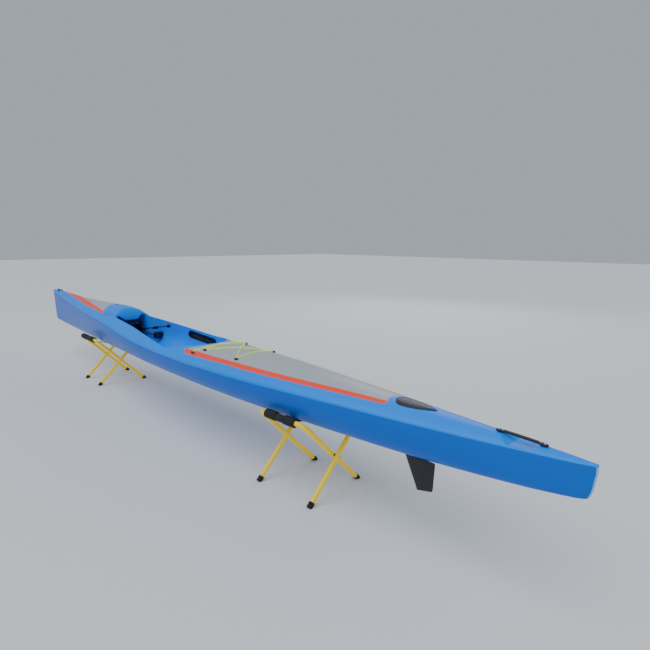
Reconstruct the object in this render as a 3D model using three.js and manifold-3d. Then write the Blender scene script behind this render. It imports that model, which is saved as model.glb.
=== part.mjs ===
// Surfski on two folding trestles.
// Millimetres. +X to the bow, +Y to port, +Z up; the origin is on the floor, midway between the ends.
import * as THREE from 'three';
import { mergeVertices } from 'three/addons/utils/BufferGeometryUtils.js';
import Module from 'manifold-3d';

const wasm = await Module();
wasm.setup();

// Driving dimensions
const LENGTH = 5400;
const BOW = LENGTH / 2;
const STERN = -LENGTH / 2;
const GAP = 0.3; // clearance between pieces that touch
const TUB_WALL = 4; // thickness of the cockpit moulding
const BILGE = 2.3; // roundness of the bottom: 2 is an ellipse, more is squarer
const BOTTOM_STEPS = 9; // facets on each side of the keel
const DECK_STEPS = 4; // facets on each side of the deck's centre line
const STATION_STEP = 170; // longest distance between two sections of the boat

// Sections of the boat, from the stern to the bow. keel: height of the bottom. beam, knuckle: half
// width and height of the hull's upper edge. edge, edgeZ: the deck edge. crown: height on the centre line.
const STATIONS = [
  // x, keel, beam, knuckle, edge, edgeZ, crown
  [STERN, 500, 6, 523, 4, 528, 530],
  [STERN + 10, 436, 9, 523, 7, 528, 531],
  [STERN + 22, 412, 12, 523, 9, 528, 531],
  [STERN + 60, 402, 22, 522, 16, 529, 532],
  [-2400, 372, 60, 516, 46, 529, 541],
  [-2100, 350, 104, 511, 80, 531, 549],
  [-1800, 338, 141, 507, 110, 535, 560],
  [-1500, 330, 174, 501, 137, 540, 568],
  [-1200, 325, 203, 495, 160, 544, 575],
  [-900, 323, 225, 491, 180, 546, 576],
  [-600, 322, 237, 489, 196, 545, 569],
  [-300, 322, 240, 490, 214, 532, 545],
  [0, 321, 237, 497, 184, 550, 558],
  [300, 320, 226, 513, 152, 570, 577],
  [600, 316, 207, 534, 139, 581, 592],
  [720, 314, 197, 542, 139, 583, 650],
  [900, 312, 181, 548, 148, 578, 655],
  [1200, 310, 150, 553, 131, 582, 648],
  [1500, 310, 117, 557, 99, 598, 644],
  [1800, 312, 85, 565, 66, 613, 643],
  [2100, 317, 55, 578, 40, 634, 649],
  [2400, 326, 30, 599, 22, 648, 655],
  [2600, 335, 14, 617, 9, 652, 655],
  [BOW - 50, 339, 9, 624, 6, 651, 654],
  [BOW - 38, 348, 8, 626, 5.5, 651, 653],
  [BOW - 24, 456, 7, 628, 5, 650, 652],
  [BOW, 612, 5, 633, 4, 649, 650],
].map(([x, keel, beam, knuckle, edge, edgeZ, crown]) => ({ x, keel, beam, knuckle, edge, edgeZ, crown }));

// The cockpit's inner surface. half: half width at the rim. floor: height on the centre line.
const COCKPIT = [
  // x, half, floor
  [-586, 10, 545],
  [-578, 52, 514],
  [-560, 88, 477],
  [-530, 124, 440],
  [-494, 154, 412],
  [-445, 181, 387],
  [-380, 201, 369],
  [-300, 209, 360],
  [-160, 192, 357],
  [-40, 180, 369],
  [80, 168, 396],
  [180, 157, 404],
  [300, 144, 404],
  [420, 134, 392],
  [480, 127, 376],
  [540, 121, 346],
  [680, 116, 334],
  [850, 110, 331],
  [930, 104, 336],
].map(([x, half, floor]) => ({ x, half, floor }));
const SQUARE = 3; // squareness of the cockpit's cross section
const SKIN = 12; // least thickness between the cockpit and the outside of the hull

// The hump over the feet
const COWL_AFT = 704;
const COWL_TIP = [788, 534]; // x and height of the lowest point of its middle crest
const FOOT_ARCH = { y: 94, halfWidth: 56, z: 528, rise: 68 };
const TUB_TOP_FORE = 520; // the cockpit moulding's top edge under the hump

// Rudder
const STOCK_X = -2030;
const STOCK_R = 5;
const BLADE = { top: 338, bottom: 200, leadTop: -1998, trailTop: -2142, leadFoot: -2062, trailFoot: -2136 };
const BLADE_THICK = 9;

// Trestles
const TUBE_R = 12;
const BAR = { y: 191, z: 377 };
const FOOT_Y = 171;
const FOOT_Z = 14; // end of a leg's tube, inside its cap
const BEND = 48; // radius of the bends between the top bar and the legs
const FOAM_R = 22;
const FOAM_WAIST_R = 15;
const SLING = { halfWidth: 24, thick: 2 };
const CAP = { r: 14.3, length: 30, below: 22 }; // below: reach past the tube's end, cut by the floor
const TRESTLES = [
  // name, x of the middle, turn about the vertical in radians, side of the outer frame's top bar
  ['aft', -1430, 0.045, -1],
  ['fore', 1095, 0, 1],
].map(([name, x, turn, outerSide]) => ({ name, x, turn, outerSide }));
const FRAMES = [
  // name, half spacing of the legs, and whether its top bar is on the outer frame's side
  ['outer', 178, 1],
  ['inner', 150, -1],
].map(([name, half, match]) => ({ name, half, match }));

// Foot gear
const RAIL = { y: 78, z: 462, aft: 372, fore: 940, size: 12 };
const CLAMP = { x: 410, length: 46, inner: 64, height: 44 };
const PLATE = { x: 700, thick: 8, halfWidth: 80, low: 384, high: 482 };
const PEDAL = { y: 66, thick: 7, width: 64, height: 50 };
const SLEEVE = { aft: -66, fore: 10, size: 24 };
const STRAP = { half: 88, rise: 61, thick: 4, width: 64 };
const ROD = { r: 4, fore: [654, -74], knob: [240, -98, 554], knobR: 14, grip: 440 };

// Bungee cord on the aft deck: one cord, held down by a fitting at each of these places
const BUNGEE_R = 2.5;
const BUNGEE_ROUTE = [
  // x, y
  [-628, 184],
  [-690, -140],
  [-983, 124],
  [-985, -122],
  [-676, 131],
  [-628, -184],
].map(([x, y]) => ({ x, y }));
const FITTING = { length: 26, width: 16, high: 9 };
const EYE = { x: 944, r: 8, proud: 5 }; // on top of the hump over the feet

// Paints and finishes
const FINISH = {
  hull_blue: [0x1f83ea, 0.12, 0.0],
  deck_blue: [0x2f8ff2, 0.12, 0.0],
  black_plastic: [0x17181a, 0.5, 0.0],
  grey_metal: [0x8b8f94, 0.35, 0.9],
  bungee_green: [0xd4ea78, 0.7, 0.0],
  tube_yellow: [0xf2c94c, 0.35, 0.2],
  black_foam: [0x141414, 0.9, 0.0],
  black_webbing: [0x1b1b1c, 0.85, 0.0],
  rubber_black: [0x101011, 0.7, 0.0],
};

const model = new THREE.Group();

function add(name, finish, shape) {
  const geometry = shape.isBufferGeometry ? shape : geometryOf(shape);
  const [color, roughness, metalness] = FINISH[finish];
  const mesh = new THREE.Mesh(geometry, new THREE.MeshStandardMaterial({ color, roughness, metalness }));
  mesh.name = name;
  model.add(mesh);
}

// A closed three.js geometry as a solid that can be joined and cut
function solid(geometry) {
  const plain = geometry.index ? geometry.toNonIndexed() : geometry.clone();
  plain.deleteAttribute('normal');
  plain.deleteAttribute('uv');
  const merged = mergeVertices(plain, 1e-3);
  const mesh = new wasm.Mesh({
    numProp: 3,
    vertProperties: new Float32Array(merged.attributes.position.array),
    triVerts: new Uint32Array(merged.index.array),
  });
  return new wasm.Manifold(mesh);
}

function geometryOf(shape) {
  const mesh = shape.getMesh();
  const geometry = new THREE.BufferGeometry();
  geometry.setAttribute('position', new THREE.BufferAttribute(mesh.vertProperties.slice(), 3));
  geometry.setIndex(new THREE.BufferAttribute(mesh.triVerts.slice(), 1));
  return geometry;
}

function placed(geometry, x = 0, y = 0, z = 0) {
  return geometry.clone().translate(x, y, z);
}

// Smooth value of one column of a table at x, with no overshoot between its rows
function along(rows, column, x) {
  if (x <= rows[0].x) return rows[0][column];
  if (x >= rows[rows.length - 1].x) return rows[rows.length - 1][column];
  const i = rows.findIndex((row) => row.x > x) - 1;
  const width = (k) => rows[k + 1].x - rows[k].x;
  const rise = (k) => (rows[k + 1][column] - rows[k][column]) / width(k);
  const slope = (k) => {
    if (k === 0) return rise(0);
    if (k === rows.length - 1) return rise(k - 1);
    const before = rise(k - 1);
    const after = rise(k);
    return before * after <= 0 ? 0 : (2 * before * after) / (before + after);
  };
  const w = width(i);
  const t = (x - rows[i].x) / w;
  const a = rows[i][column];
  const b = rows[i + 1][column];
  const blend = t * t * (3 - 2 * t);
  return a + (b - a) * blend + w * t * (1 - t) * ((1 - t) * slope(i) - t * slope(i + 1));
}

// The x of every section: each row of a table, and points between rows that lie far apart
function sectionPlaces(rows, step) {
  const places = [];
  rows.slice(0, -1).forEach((row, i) => {
    const span = rows[i + 1].x - row.x;
    const parts = Math.max(1, Math.round(span / step));
    for (let k = 0; k < parts; k += 1) places.push(row.x + (span * k) / parts);
  });
  places.push(rows[rows.length - 1].x);
  return places;
}

// A closed body through sections of equal point count, each counter-clockwise seen from +X
function loft(sections) {
  const count = sections[0].length;
  const positions = sections.flat(2);
  const index = [];
  sections.slice(0, -1).forEach((_, i) => {
    for (let j = 0; j < count; j += 1) {
      const a = i * count + j;
      const b = i * count + ((j + 1) % count);
      index.push(a, b, b + count, a, b + count, a + count);
    }
  });
  const last = (sections.length - 1) * count;
  for (let j = 1; j < count - 1; j += 1) {
    index.push(0, j + 1, j);
    index.push(last, last + j, last + j + 1);
  }
  const geometry = new THREE.BufferGeometry();
  geometry.setAttribute('position', new THREE.Float32BufferAttribute(positions, 3));
  geometry.setIndex(index);
  return geometry;
}

// Half width of the hull's outside at height z, below the knuckle
function hullHalf(x, z) {
  const beam = along(STATIONS, 'beam', x);
  const knuckle = along(STATIONS, 'knuckle', x);
  const depth = knuckle - along(STATIONS, 'keel', x);
  const t = Math.min(1, Math.max(0, (knuckle - z) / depth));
  return beam * (1 - t ** BILGE) ** (1 / BILGE);
}

// Height of the hull's bottom at y
function bottomZ(x, y) {
  const beam = along(STATIONS, 'beam', x);
  const knuckle = along(STATIONS, 'knuckle', x);
  const depth = knuckle - along(STATIONS, 'keel', x);
  return knuckle - depth * (1 - Math.min(1, Math.abs(y) / beam) ** BILGE) ** (1 / BILGE);
}

// Height of the deck's top at y, inside the deck edge
function deckZ(x, y) {
  const edge = along(STATIONS, 'edge', x);
  const edgeZ = along(STATIONS, 'edgeZ', x);
  const crown = along(STATIONS, 'crown', x);
  return crown - (crown - edgeZ) * (y / edge) ** 2;
}

// Bottom half of one section: starboard knuckle, keel, port knuckle
function bottomPoints(x, drop = 0) {
  const beam = along(STATIONS, 'beam', x);
  const knuckle = along(STATIONS, 'knuckle', x);
  const depth = knuckle - along(STATIONS, 'keel', x);
  const points = [];
  for (let k = -BOTTOM_STEPS; k <= BOTTOM_STEPS; k += 1) {
    const angle = (Math.PI / 2) * (Math.abs(k) / BOTTOM_STEPS);
    const y = beam * Math.sin(angle) ** (2 / BILGE) * Math.sign(k);
    const z = knuckle - depth * Math.cos(angle) ** (2 / BILGE);
    points.push([x, y, z - drop]);
  }
  return points;
}

// Deck half of one section: port edge, crown, starboard edge
function deckPoints(x, lift = 0) {
  const edge = along(STATIONS, 'edge', x);
  const points = [];
  for (let k = DECK_STEPS; k >= -DECK_STEPS; k -= 1) {
    const y = (edge * k) / DECK_STEPS;
    points.push([x, y, deckZ(x, y) + lift]);
  }
  return points;
}

const places = sectionPlaces(STATIONS, STATION_STEP);

function hullBody() {
  return solid(loft(places.map((x) => bottomPoints(x))));
}

function deckBody() {
  return solid(loft(places.map((x) => {
    const beam = along(STATIONS, 'beam', x);
    const low = along(STATIONS, 'knuckle', x) + GAP;
    return [[x, -beam, low], [x, beam, low], ...deckPoints(x)];
  })));
}

// Everything under the deck's top, raised by lift: it trims pieces to the deck
function underDeck(lift) {
  return solid(loft(places.map((x) => {
    const beam = along(STATIONS, 'beam', x);
    const low = along(STATIONS, 'keel', x) - 20;
    const knuckle = along(STATIONS, 'knuckle', x) + lift;
    return [[x, -beam, low], [x, beam, low], [x, beam, knuckle], ...deckPoints(x, lift), [x, -beam, knuckle]];
  })));
}

// The open space of the cockpit, grown outwards by grow
function cockpitSpace(grow) {
  const head = 90;
  const sections = sectionPlaces(COCKPIT, 70).map((x) => {
    const half = along(COCKPIT, 'half', x) + grow;
    const floor = along(COCKPIT, 'floor', x) - grow;
    const rim = Math.min(along(STATIONS, 'edgeZ', x), 585);
    const steps = 7;
    const side = [];
    for (let k = 0; k <= steps; k += 1) {
      const angle = (Math.PI / 2) * (k / steps);
      const z = rim - (rim - floor) * Math.cos(angle) ** (2 / SQUARE);
      const free = hullHalf(x, z) - SKIN + grow;
      side.push([Math.min(half * Math.sin(angle) ** (2 / SQUARE), Math.max(free, 1)), z]);
    }
    const port = side.slice(1).map(([y, z]) => [x, y, z]);
    const starboard = port.map(([, y, z]) => [x, -y, z]).reverse();
    const top = along(STATIONS, 'crown', x) + head;
    return [...starboard, [x, 0, side[0][1]], ...port, [x, half, top], [x, -half, top]];
  });
  const last = sections.length - 1;
  sections[0] = sections[0].map(([x, y, z]) => [x - grow, y, z]);
  sections[last] = sections[last].map(([x, y, z]) => [x + grow, y, z]);
  return solid(loft(sections));
}

// A prism whose outline lies in the XZ plane, centred on the middle plane
function sidePrism(outline, width) {
  const shape = new THREE.Shape(outline.map(([x, z]) => new THREE.Vector2(x, z)));
  const geometry = new THREE.ExtrudeGeometry(shape, { depth: width, bevelEnabled: false });
  return solid(geometry.rotateX(Math.PI / 2).translate(0, width / 2, 0));
}

// The solid under the hump that closes the cockpit's top, with an arch over each foot
function cowl() {
  const [tipX, tipZ] = COWL_TIP;
  const top = 760;
  const outline = [
    [COWL_AFT, top], [COWL_AFT, 628], [COWL_AFT + 8, 612], [tipX, tipZ],
    [tipX + 30, tipZ + 14], [tipX + 90, 578], [tipX + 260, 588], [tipX + 260, top],
  ];
  let block = sidePrism(outline, 400);
  for (const side of [-1, 1]) {
    const { y, halfWidth, z, rise } = FOOT_ARCH;
    const arch = new THREE.CylinderGeometry(1, 1, 400, 20).rotateZ(Math.PI / 2).scale(1, halfWidth, rise);
    block = block.subtract(solid(placed(arch, COWL_AFT + 150, side * y, z)));
  }
  return block;
}

// The part of the cockpit that the moulding lines: all of it but the space right under the hump
function linedRegion(extra) {
  const box = new THREE.BoxGeometry(700, 700, 300);
  return solid(placed(box, COWL_AFT - 20 + extra + 350, 0, TUB_TOP_FORE + extra + 150));
}

function racetrack(length, height, depth) {
  const r = height / 2;
  const half = length / 2 - r;
  const shape = new THREE.Shape();
  shape.absarc(half, 0, r, -Math.PI / 2, Math.PI / 2, false);
  shape.absarc(-half, 0, r, Math.PI / 2, (3 * Math.PI) / 2, false);
  return new THREE.ExtrudeGeometry(shape, { depth, bevelEnabled: false, curveSegments: 7 });
}

// Recessed carrying grips in the cockpit's side walls, below the rim
const GRIP = {
  x: -88, y: 186, z: 497, length: 322, height: 60, tilt: 0.085, turn: 0.103, proud: 4, deep: 16, cut: 20,
};

function gripPlaced(geometry, side) {
  const turned = geometry.rotateX(Math.PI / 2).rotateY(-GRIP.tilt);
  return placed(turned.rotateZ(-side * GRIP.turn), GRIP.x, side * GRIP.y, GRIP.z);
}

function gripBlock(side, extra, inward = GRIP.proud) {
  const depth = inward + GRIP.deep + extra;
  const start = side > 0 ? -(GRIP.deep + extra) : -inward;
  const shape = racetrack(GRIP.length + 2 * extra, GRIP.height + 2 * extra, depth);
  return solid(gripPlaced(shape.translate(0, 0, start), side));
}

function grip(side) {
  const depth = GRIP.proud + GRIP.deep - 4;
  const start = side > 0 ? -(GRIP.deep - 4) : -GRIP.proud - 1;
  const recess = racetrack(GRIP.length - 22, GRIP.height - 22, depth + 1);
  return gripBlock(side, 0).subtract(solid(gripPlaced(recess.translate(0, 0, start), side)));
}

// Saddle cut out of the deck under a carrying handle, so that fingers pass below its bar
const HANDLES = [
  // name, x of its middle, length of the bar
  ['stern', -2464, 178],
  ['bow', 2480, 150],
].map(([name, x, length]) => ({ name, x, length }));
const HANDLE_BAR = { width: 18, thick: 12, foot: 24 };

function saddle(handle) {
  const { x, length } = handle;
  const reach = length / 2 - HANDLE_BAR.foot;
  const crown = along(STATIONS, 'crown', x);
  const floor = Math.max(along(STATIONS, 'knuckle', x) + 4, crown - 24);
  return sidePrism([
    [x - reach + 12, floor], [x + reach - 12, floor], [x + reach, crown + 12], [x - reach, crown + 12],
  ], 200);
}

// The bar lies on the deck at both ends and bridges the saddle
function handleBar(handle) {
  const { width, thick } = HANDLE_BAR;
  const crown = along(STATIONS, 'crown', handle.x);
  const whole = racetrack(handle.length, width, thick + 20);
  return solid(placed(whole, handle.x, 0, crown - 20)).subtract(underDeck(GAP));
}

// The boat's shells, with the cockpit, handles and rudder tube cut out
function boatShells() {
  const lined = cockpitSpace(TUB_WALL + GAP).subtract(linedRegion(GAP));
  const space = cockpitSpace(0);
  const hump = cowl();
  const grips = [-1, 1].map((side) => gripBlock(side, GAP, GRIP.cut));
  const tubeBore = solid(placed(upright(STOCK_R + 3.3, 400), STOCK_X, 0, 400));
  const cutters = [lined, ...grips, ...HANDLES.map(saddle), tubeBore];
  const cut = (body) => cutters.reduce((rest, cutter) => rest.subtract(cutter), body);
  const crest = hump.intersect(cockpitSpace(-GAP)).intersect(underDeck(0));
  return {
    hull: cut(hullBody()).subtract(space),
    deck: cut(deckBody()).subtract(space.subtract(hump)).add(crest),
  };
}

function tub() {
  const shell = cockpitSpace(TUB_WALL).subtract(cockpitSpace(0)).subtract(linedRegion(0));
  const trimmed = shell.intersect(underDeck(-GAP));
  return [-1, 1].reduce((rest, side) => rest.subtract(gripBlock(side, GAP, GRIP.cut)), trimmed);
}

function upright(radius, height, sides = 24) {
  return new THREE.CylinderGeometry(radius, radius, height, sides).rotateX(Math.PI / 2);
}

// Rudder: a flat blade below the hull on a round stock
function rudderBlade() {
  const { top, bottom, leadTop, trailTop, leadFoot, trailFoot } = BLADE;
  const outline = [
    [leadTop, top], [leadFoot, bottom + 5], [leadFoot - 5, bottom], [trailFoot + 7, bottom + 15],
    [trailFoot, bottom + 22], [trailTop, top - 6], [trailTop + 4, top],
  ];
  const blade = sidePrism(outline.reverse(), BLADE_THICK);
  const stock = solid(placed(upright(STOCK_R, 120, 16), STOCK_X, 0, top + 50));
  return blade.add(stock);
}

function rudderTube() {
  const low = bottomZ(STOCK_X, 0) + 1;
  const high = 420;
  const outer = solid(placed(upright(STOCK_R + 3, high - low), STOCK_X, 0, (low + high) / 2));
  return outer.subtract(solid(placed(upright(STOCK_R + 0.3, 400, 16), STOCK_X, 0, 400)));
}

// Drop-shaped cover over the rudder's fittings: round at its fore end, pointed aft
function hatchCover() {
  const fore = -1955;
  const aft = -2141;
  const r = 46;
  const shape = new THREE.Shape();
  shape.moveTo(aft, 0);
  shape.quadraticCurveTo(aft + 70, -r, fore - r, -r);
  shape.absarc(fore - r, 0, r, -Math.PI / 2, Math.PI / 2, false);
  shape.quadraticCurveTo(aft + 70, r, aft, 0);
  const prism = solid(new THREE.ExtrudeGeometry(shape, { depth: 200, bevelEnabled: false, curveSegments: 10 })
    .translate(0, 0, 450));
  return prism.intersect(underDeck(5)).subtract(underDeck(GAP));
}

// A path through listed points, one step between each two, so that long straight runs cost few faces
class PointPath extends THREE.Curve {
  constructor(points) {
    super();
    this.points = points;
  }

  getPoint(t, target = new THREE.Vector3()) {
    const last = this.points.length - 1;
    const i = Math.min(Math.floor(t * last + 1e-6), last - 1);
    return target.lerpVectors(this.points[i], this.points[i + 1], t * last - i);
  }

  getPointAt(u, target) {
    return this.getPoint(u, target);
  }

  getTangentAt(u, target = new THREE.Vector3()) {
    const last = this.points.length - 1;
    const i = Math.round(u * last);
    const before = this.points[Math.max(i - 1, 0)];
    const after = this.points[Math.min(i + 1, last)];
    return target.subVectors(after, before).normalize();
  }
}

// Round bar through the given points
function bar(points, radius, sides) {
  const section = new THREE.Shape();
  section.absarc(0, 0, radius, 0, 2 * Math.PI, false);
  return new THREE.ExtrudeGeometry(section, {
    steps: points.length - 1, extrudePath: new PointPath(points), curveSegments: sides / 2, bevelEnabled: false,
  });
}

// A shape made round a trestle's own middle, moved to its place in the whole
function atTrestle(trestle, shape) {
  const geometry = shape.isBufferGeometry ? shape : geometryOf(shape);
  return placed(geometry.rotateZ(trestle.turn), trestle.x);
}

function barSide(trestle, frame) {
  return trestle.outerSide * frame.match;
}

// A trestle frame: leg, bend, top bar, bend, leg
function framePoints(side, frame) {
  const steps = 5;
  const half = (end) => {
    const foot = new THREE.Vector3(end * frame.half, -side * FOOT_Y, FOOT_Z);
    const corner = new THREE.Vector3(end * frame.half, side * BAR.y, BAR.z);
    const legEnd = corner.clone().addScaledVector(foot.clone().sub(corner).normalize(), BEND);
    const barEnd = corner.clone().add(new THREE.Vector3(-end * BEND, 0, 0));
    return [foot, ...new THREE.QuadraticBezierCurve3(legEnd, corner, barEnd).getPoints(steps)];
  };
  return [...half(-1), ...half(1).reverse()];
}

function foam(side, frame) {
  const half = frame.half - BEND - 2;
  const waist = SLING.halfWidth + 3;
  const profile = [
    [TUBE_R + GAP, -half], [FOAM_R - 3, -half], [FOAM_R, -half + 4], [FOAM_R, -waist - 4],
    [FOAM_WAIST_R, -waist], [FOAM_WAIST_R, waist], [FOAM_R, waist + 4], [FOAM_R, half - 4],
    [FOAM_R - 3, half], [TUBE_R + GAP, half], [TUBE_R + GAP, -half],
  ];
  const sleeve = new THREE.LatheGeometry(profile.map(([r, h]) => new THREE.Vector2(r, h)), 16);
  return placed(sleeve.rotateZ(-Math.PI / 2), 0, side * BAR.y, BAR.z);
}

// Webbing sling that carries the hull: it wraps both top bars and follows the hull's bottom
function sling(trestle) {
  const { halfWidth, thick } = SLING;
  const ringIn = FOAM_WAIST_R + GAP;
  const ringOut = ringIn + thick;
  const contact = 0.28;
  const reach = along(STATIONS, 'beam', trestle.x) * contact;
  const lowest = (y) => Math.min(bottomZ(trestle.x - halfWidth, y), bottomZ(trestle.x + halfWidth, y)) - 2 * GAP;
  const upper = [];
  const steps = 8;
  for (let k = -steps; k <= steps; k += 1) {
    const y = (reach * k) / steps;
    upper.push([y, lowest(y)]);
  }
  const end = [BAR.y, BAR.z - ringIn];
  const full = [[-end[0], end[1]], ...upper, end];
  const lower = full.map(([y, z]) => [y, z - thick]).reverse();
  const outline = new THREE.Shape([...full, ...lower].map(([y, z]) => new THREE.Vector2(y, z)));
  const flat = { depth: 2 * halfWidth, bevelEnabled: false, curveSegments: 12 };
  const along3d = (shape) => solid(new THREE.ExtrudeGeometry(shape, flat)
    .translate(0, 0, -halfWidth).rotateY(Math.PI / 2).rotateX(Math.PI / 2));
  const rings = [-1, 1].map((side) => {
    const ring = new THREE.Shape();
    ring.absarc(side * BAR.y, BAR.z, ringOut, 0, 2 * Math.PI, false);
    const hole = new THREE.Path();
    hole.absarc(side * BAR.y, BAR.z, ringIn, 0, 2 * Math.PI, true);
    ring.holes.push(hole);
    return along3d(ring);
  });
  const band = along3d(outline);
  const bars = [-1, 1].map((side) => solid(new THREE.CylinderGeometry(ringIn, ringIn, 400, 24)
    .rotateZ(Math.PI / 2).translate(0, side * BAR.y, BAR.z)));
  return band.add(rings[0]).add(rings[1]).subtract(bars[0]).subtract(bars[1]);
}

// Rubber cap on a leg's foot, cut flat by the floor
function footCap(side, frame, end) {
  const foot = new THREE.Vector3(0, -side * FOOT_Y, FOOT_Z);
  const leg = new THREE.Vector3(0, side * BAR.y, BAR.z).sub(foot).normalize();
  const turn = new THREE.Quaternion().setFromUnitVectors(new THREE.Vector3(0, 1, 0), leg);
  const place = foot.clone().addScaledVector(leg, CAP.length / 2 - CAP.below);
  const x = end * frame.half;
  const rod = (r, length, shift) => solid(new THREE.CylinderGeometry(r, r, length, 16)
    .translate(0, shift, 0).applyQuaternion(turn).translate(x, place.y, place.z));
  const floor = solid(placed(new THREE.BoxGeometry(200, 200, 100), x, foot.y, 50));
  const socket = rod(TUBE_R + GAP, 200, 100 - CAP.length / 2 + CAP.below - GAP);
  return rod(CAP.r, CAP.length, 0).intersect(floor).subtract(socket);
}

// Spacer between the two frames where their legs cross
function pivot(end) {
  const outer = FRAMES[0].half - TUBE_R;
  const inner = FRAMES[1].half + TUBE_R;
  const cross = crossing();
  const length = outer - inner - 2 * GAP;
  const disc = new THREE.CylinderGeometry(9, 9, length, 16).rotateZ(Math.PI / 2);
  return placed(disc, (end * (outer + inner)) / 2, cross.y, cross.z);
}

function crossing() {
  const share = FOOT_Y / (FOOT_Y + BAR.y);
  return { y: 0, z: FOOT_Z + (BAR.z - FOOT_Z) * share };
}

function buildTrestle(trestle) {
  const name = `trestle_${trestle.name}`;
  const put = (part, finish, shape) => add(`${name}_${part}`, finish, atTrestle(trestle, shape));
  FRAMES.forEach((frame) => {
    const side = barSide(trestle, frame);
    put(`${frame.name}_frame`, 'tube_yellow', bar(framePoints(side, frame), TUBE_R, 12));
    put(`${frame.name}_foam`, 'black_foam', foam(side, frame));
    [-1, 1].forEach((end) => {
      put(`${frame.name}_cap_${end < 0 ? 'a' : 'b'}`, 'rubber_black', footCap(side, frame, end));
    });
  });
  [-1, 1].forEach((end) => put(`pivot_${end < 0 ? 'a' : 'b'}`, 'black_plastic', pivot(end)));
  put('sling', 'black_webbing', sling(trestle));
}

// Foot gear: two rails, a plate that slides on them, two pedals, a strap and the adjusting rod
function buildFootGear() {
  const { y, z, aft, fore, size } = RAIL;
  const room = cockpitSpace(-GAP);
  [['port', 1], ['stbd', -1]].forEach(([name, side]) => {
    const rail = solid(placed(new THREE.BoxGeometry(fore - aft, size, size), (aft + fore) / 2, side * y, z));
    add(`foot_rail_${name}`, 'grey_metal', rail.intersect(room));
    add(`rail_clamp_${name}`, 'black_plastic', railClamp(side).intersect(room));
    const pedal = new THREE.BoxGeometry(PEDAL.thick, PEDAL.width, PEDAL.height);
    add(`pedal_${name}`, 'black_plastic', placed(pedal, PLATE.x, side * PEDAL.y, PLATE.high + GAP + PEDAL.height / 2));
  });
  add('footplate', 'black_plastic', footplate());
  add('foot_strap', 'black_webbing', footStrap());
  add('adjuster_rod', 'black_plastic', adjusterRod());
}

function railBore(side) {
  const size = RAIL.size + 2 * GAP;
  return solid(placed(new THREE.BoxGeometry(900, size, size), PLATE.x, side * RAIL.y, RAIL.z));
}

// Block that holds a rail's aft end to the side wall
function railClamp(side) {
  const { x, length, inner, height } = CLAMP;
  const width = 100;
  const block = solid(placed(new THREE.BoxGeometry(length, width, height), x, side * (inner + width / 2), RAIL.z));
  return block.subtract(railBore(side));
}

function footplate() {
  const { x, thick, halfWidth, low, high } = PLATE;
  const { aft, fore, size } = SLEEVE;
  let whole = solid(placed(new THREE.BoxGeometry(thick, 2 * halfWidth, high - low), x, 0, (low + high) / 2));
  for (const side of [-1, 1]) {
    const sleeve = new THREE.BoxGeometry(fore - aft, size, size);
    whole = whole.add(solid(placed(sleeve, x + (aft + fore) / 2, side * RAIL.y, RAIL.z)));
    whole = whole.subtract(railBore(side));
  }
  return whole;
}

// Strap over the insteps: a low arch of webbing that stands on the two sleeves
function footStrap() {
  const { half, rise, thick, width } = STRAP;
  const shape = new THREE.Shape();
  shape.absellipse(0, 0, half, rise, 0, Math.PI, false);
  const steps = 16;
  for (let k = 0; k <= steps; k += 1) {
    const angle = Math.PI * (1 - k / steps);
    shape.lineTo((half - thick) * Math.cos(angle), (rise - thick) * Math.sin(angle));
  }
  const band = new THREE.ExtrudeGeometry(shape, { depth: width, bevelEnabled: false, curveSegments: 8 });
  const base = RAIL.z + SLEEVE.size / 2 + GAP;
  return placed(band.rotateX(Math.PI / 2).rotateZ(Math.PI / 2), PLATE.x - PLATE.thick / 2 - GAP - width, 0, base);
}

// Rod from the starboard sleeve to a knob beside the paddler's knee, with a thicker grip part way
function adjusterRod() {
  const { r, fore, knob, knobR, grip } = ROD;
  const ends = [new THREE.Vector3(...fore, RAIL.z + SLEEVE.size / 2 + GAP + r), new THREE.Vector3(...knob)];
  const share = (fore[0] - grip) / (fore[0] - knob[0]);
  const middle = ends[0].clone().lerp(ends[1], share);
  const parts = [
    placed(new THREE.SphereGeometry(knobR, 14, 10), ...knob),
    placed(new THREE.BoxGeometry(70, 20, 26), middle.x, middle.y, middle.z),
  ];
  return parts.reduce((rod, part) => rod.add(solid(part)), solid(bar(ends, r, 8)));
}

// The bungee lies on the deck; its crossing runs are one body here
function bungee(radius) {
  const step = 48;
  const lift = 1.2; // the deck's facets stand above its curve's chords
  let cord = null;
  const join = (geometry) => { cord = cord ? cord.add(solid(geometry)) : solid(geometry); };
  const onDeck = (x, y) => new THREE.Vector3(x, y, deckZ(x, y) + BUNGEE_R + lift);
  BUNGEE_ROUTE.slice(0, -1).forEach((from, i) => {
    const to = BUNGEE_ROUTE[i + 1];
    const parts = Math.ceil(Math.hypot(to.x - from.x, to.y - from.y) / step);
    const points = [];
    for (let k = 0; k <= parts; k += 1) {
      points.push(onDeck(from.x + ((to.x - from.x) * k) / parts, from.y + ((to.y - from.y) * k) / parts));
    }
    join(bar(points, radius, 8));
    if (i > 0) join(placed(new THREE.SphereGeometry(radius, 8, 6), points[0].x, points[0].y, points[0].z));
  });
  return cord;
}

// Fittings: each holds the bungee down and rests on the deck on both sides of it
function deckFitting(place, cord) {
  const { length, width, high } = FITTING;
  const z = deckZ(place.x, place.y);
  const block = racetrack(length, width, high + 12);
  return solid(placed(block, place.x, place.y, z - 12)).subtract(underDeck(GAP)).subtract(cord);
}

function buildDeckGear() {
  add('bungee', 'bungee_green', bungee(BUNGEE_R));
  const channel = bungee(BUNGEE_R + GAP);
  BUNGEE_ROUTE.forEach((place, i) => {
    add(`bungee_fitting_${i + 1}`, 'black_plastic', deckFitting(place, channel));
  });
  const { x, r, proud } = EYE;
  const eye = solid(placed(upright(r, 30, 16), x, 0, deckZ(x, 0) + proud - 15));
  add('hump_eye', 'black_plastic', eye.subtract(underDeck(GAP)));
}

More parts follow.
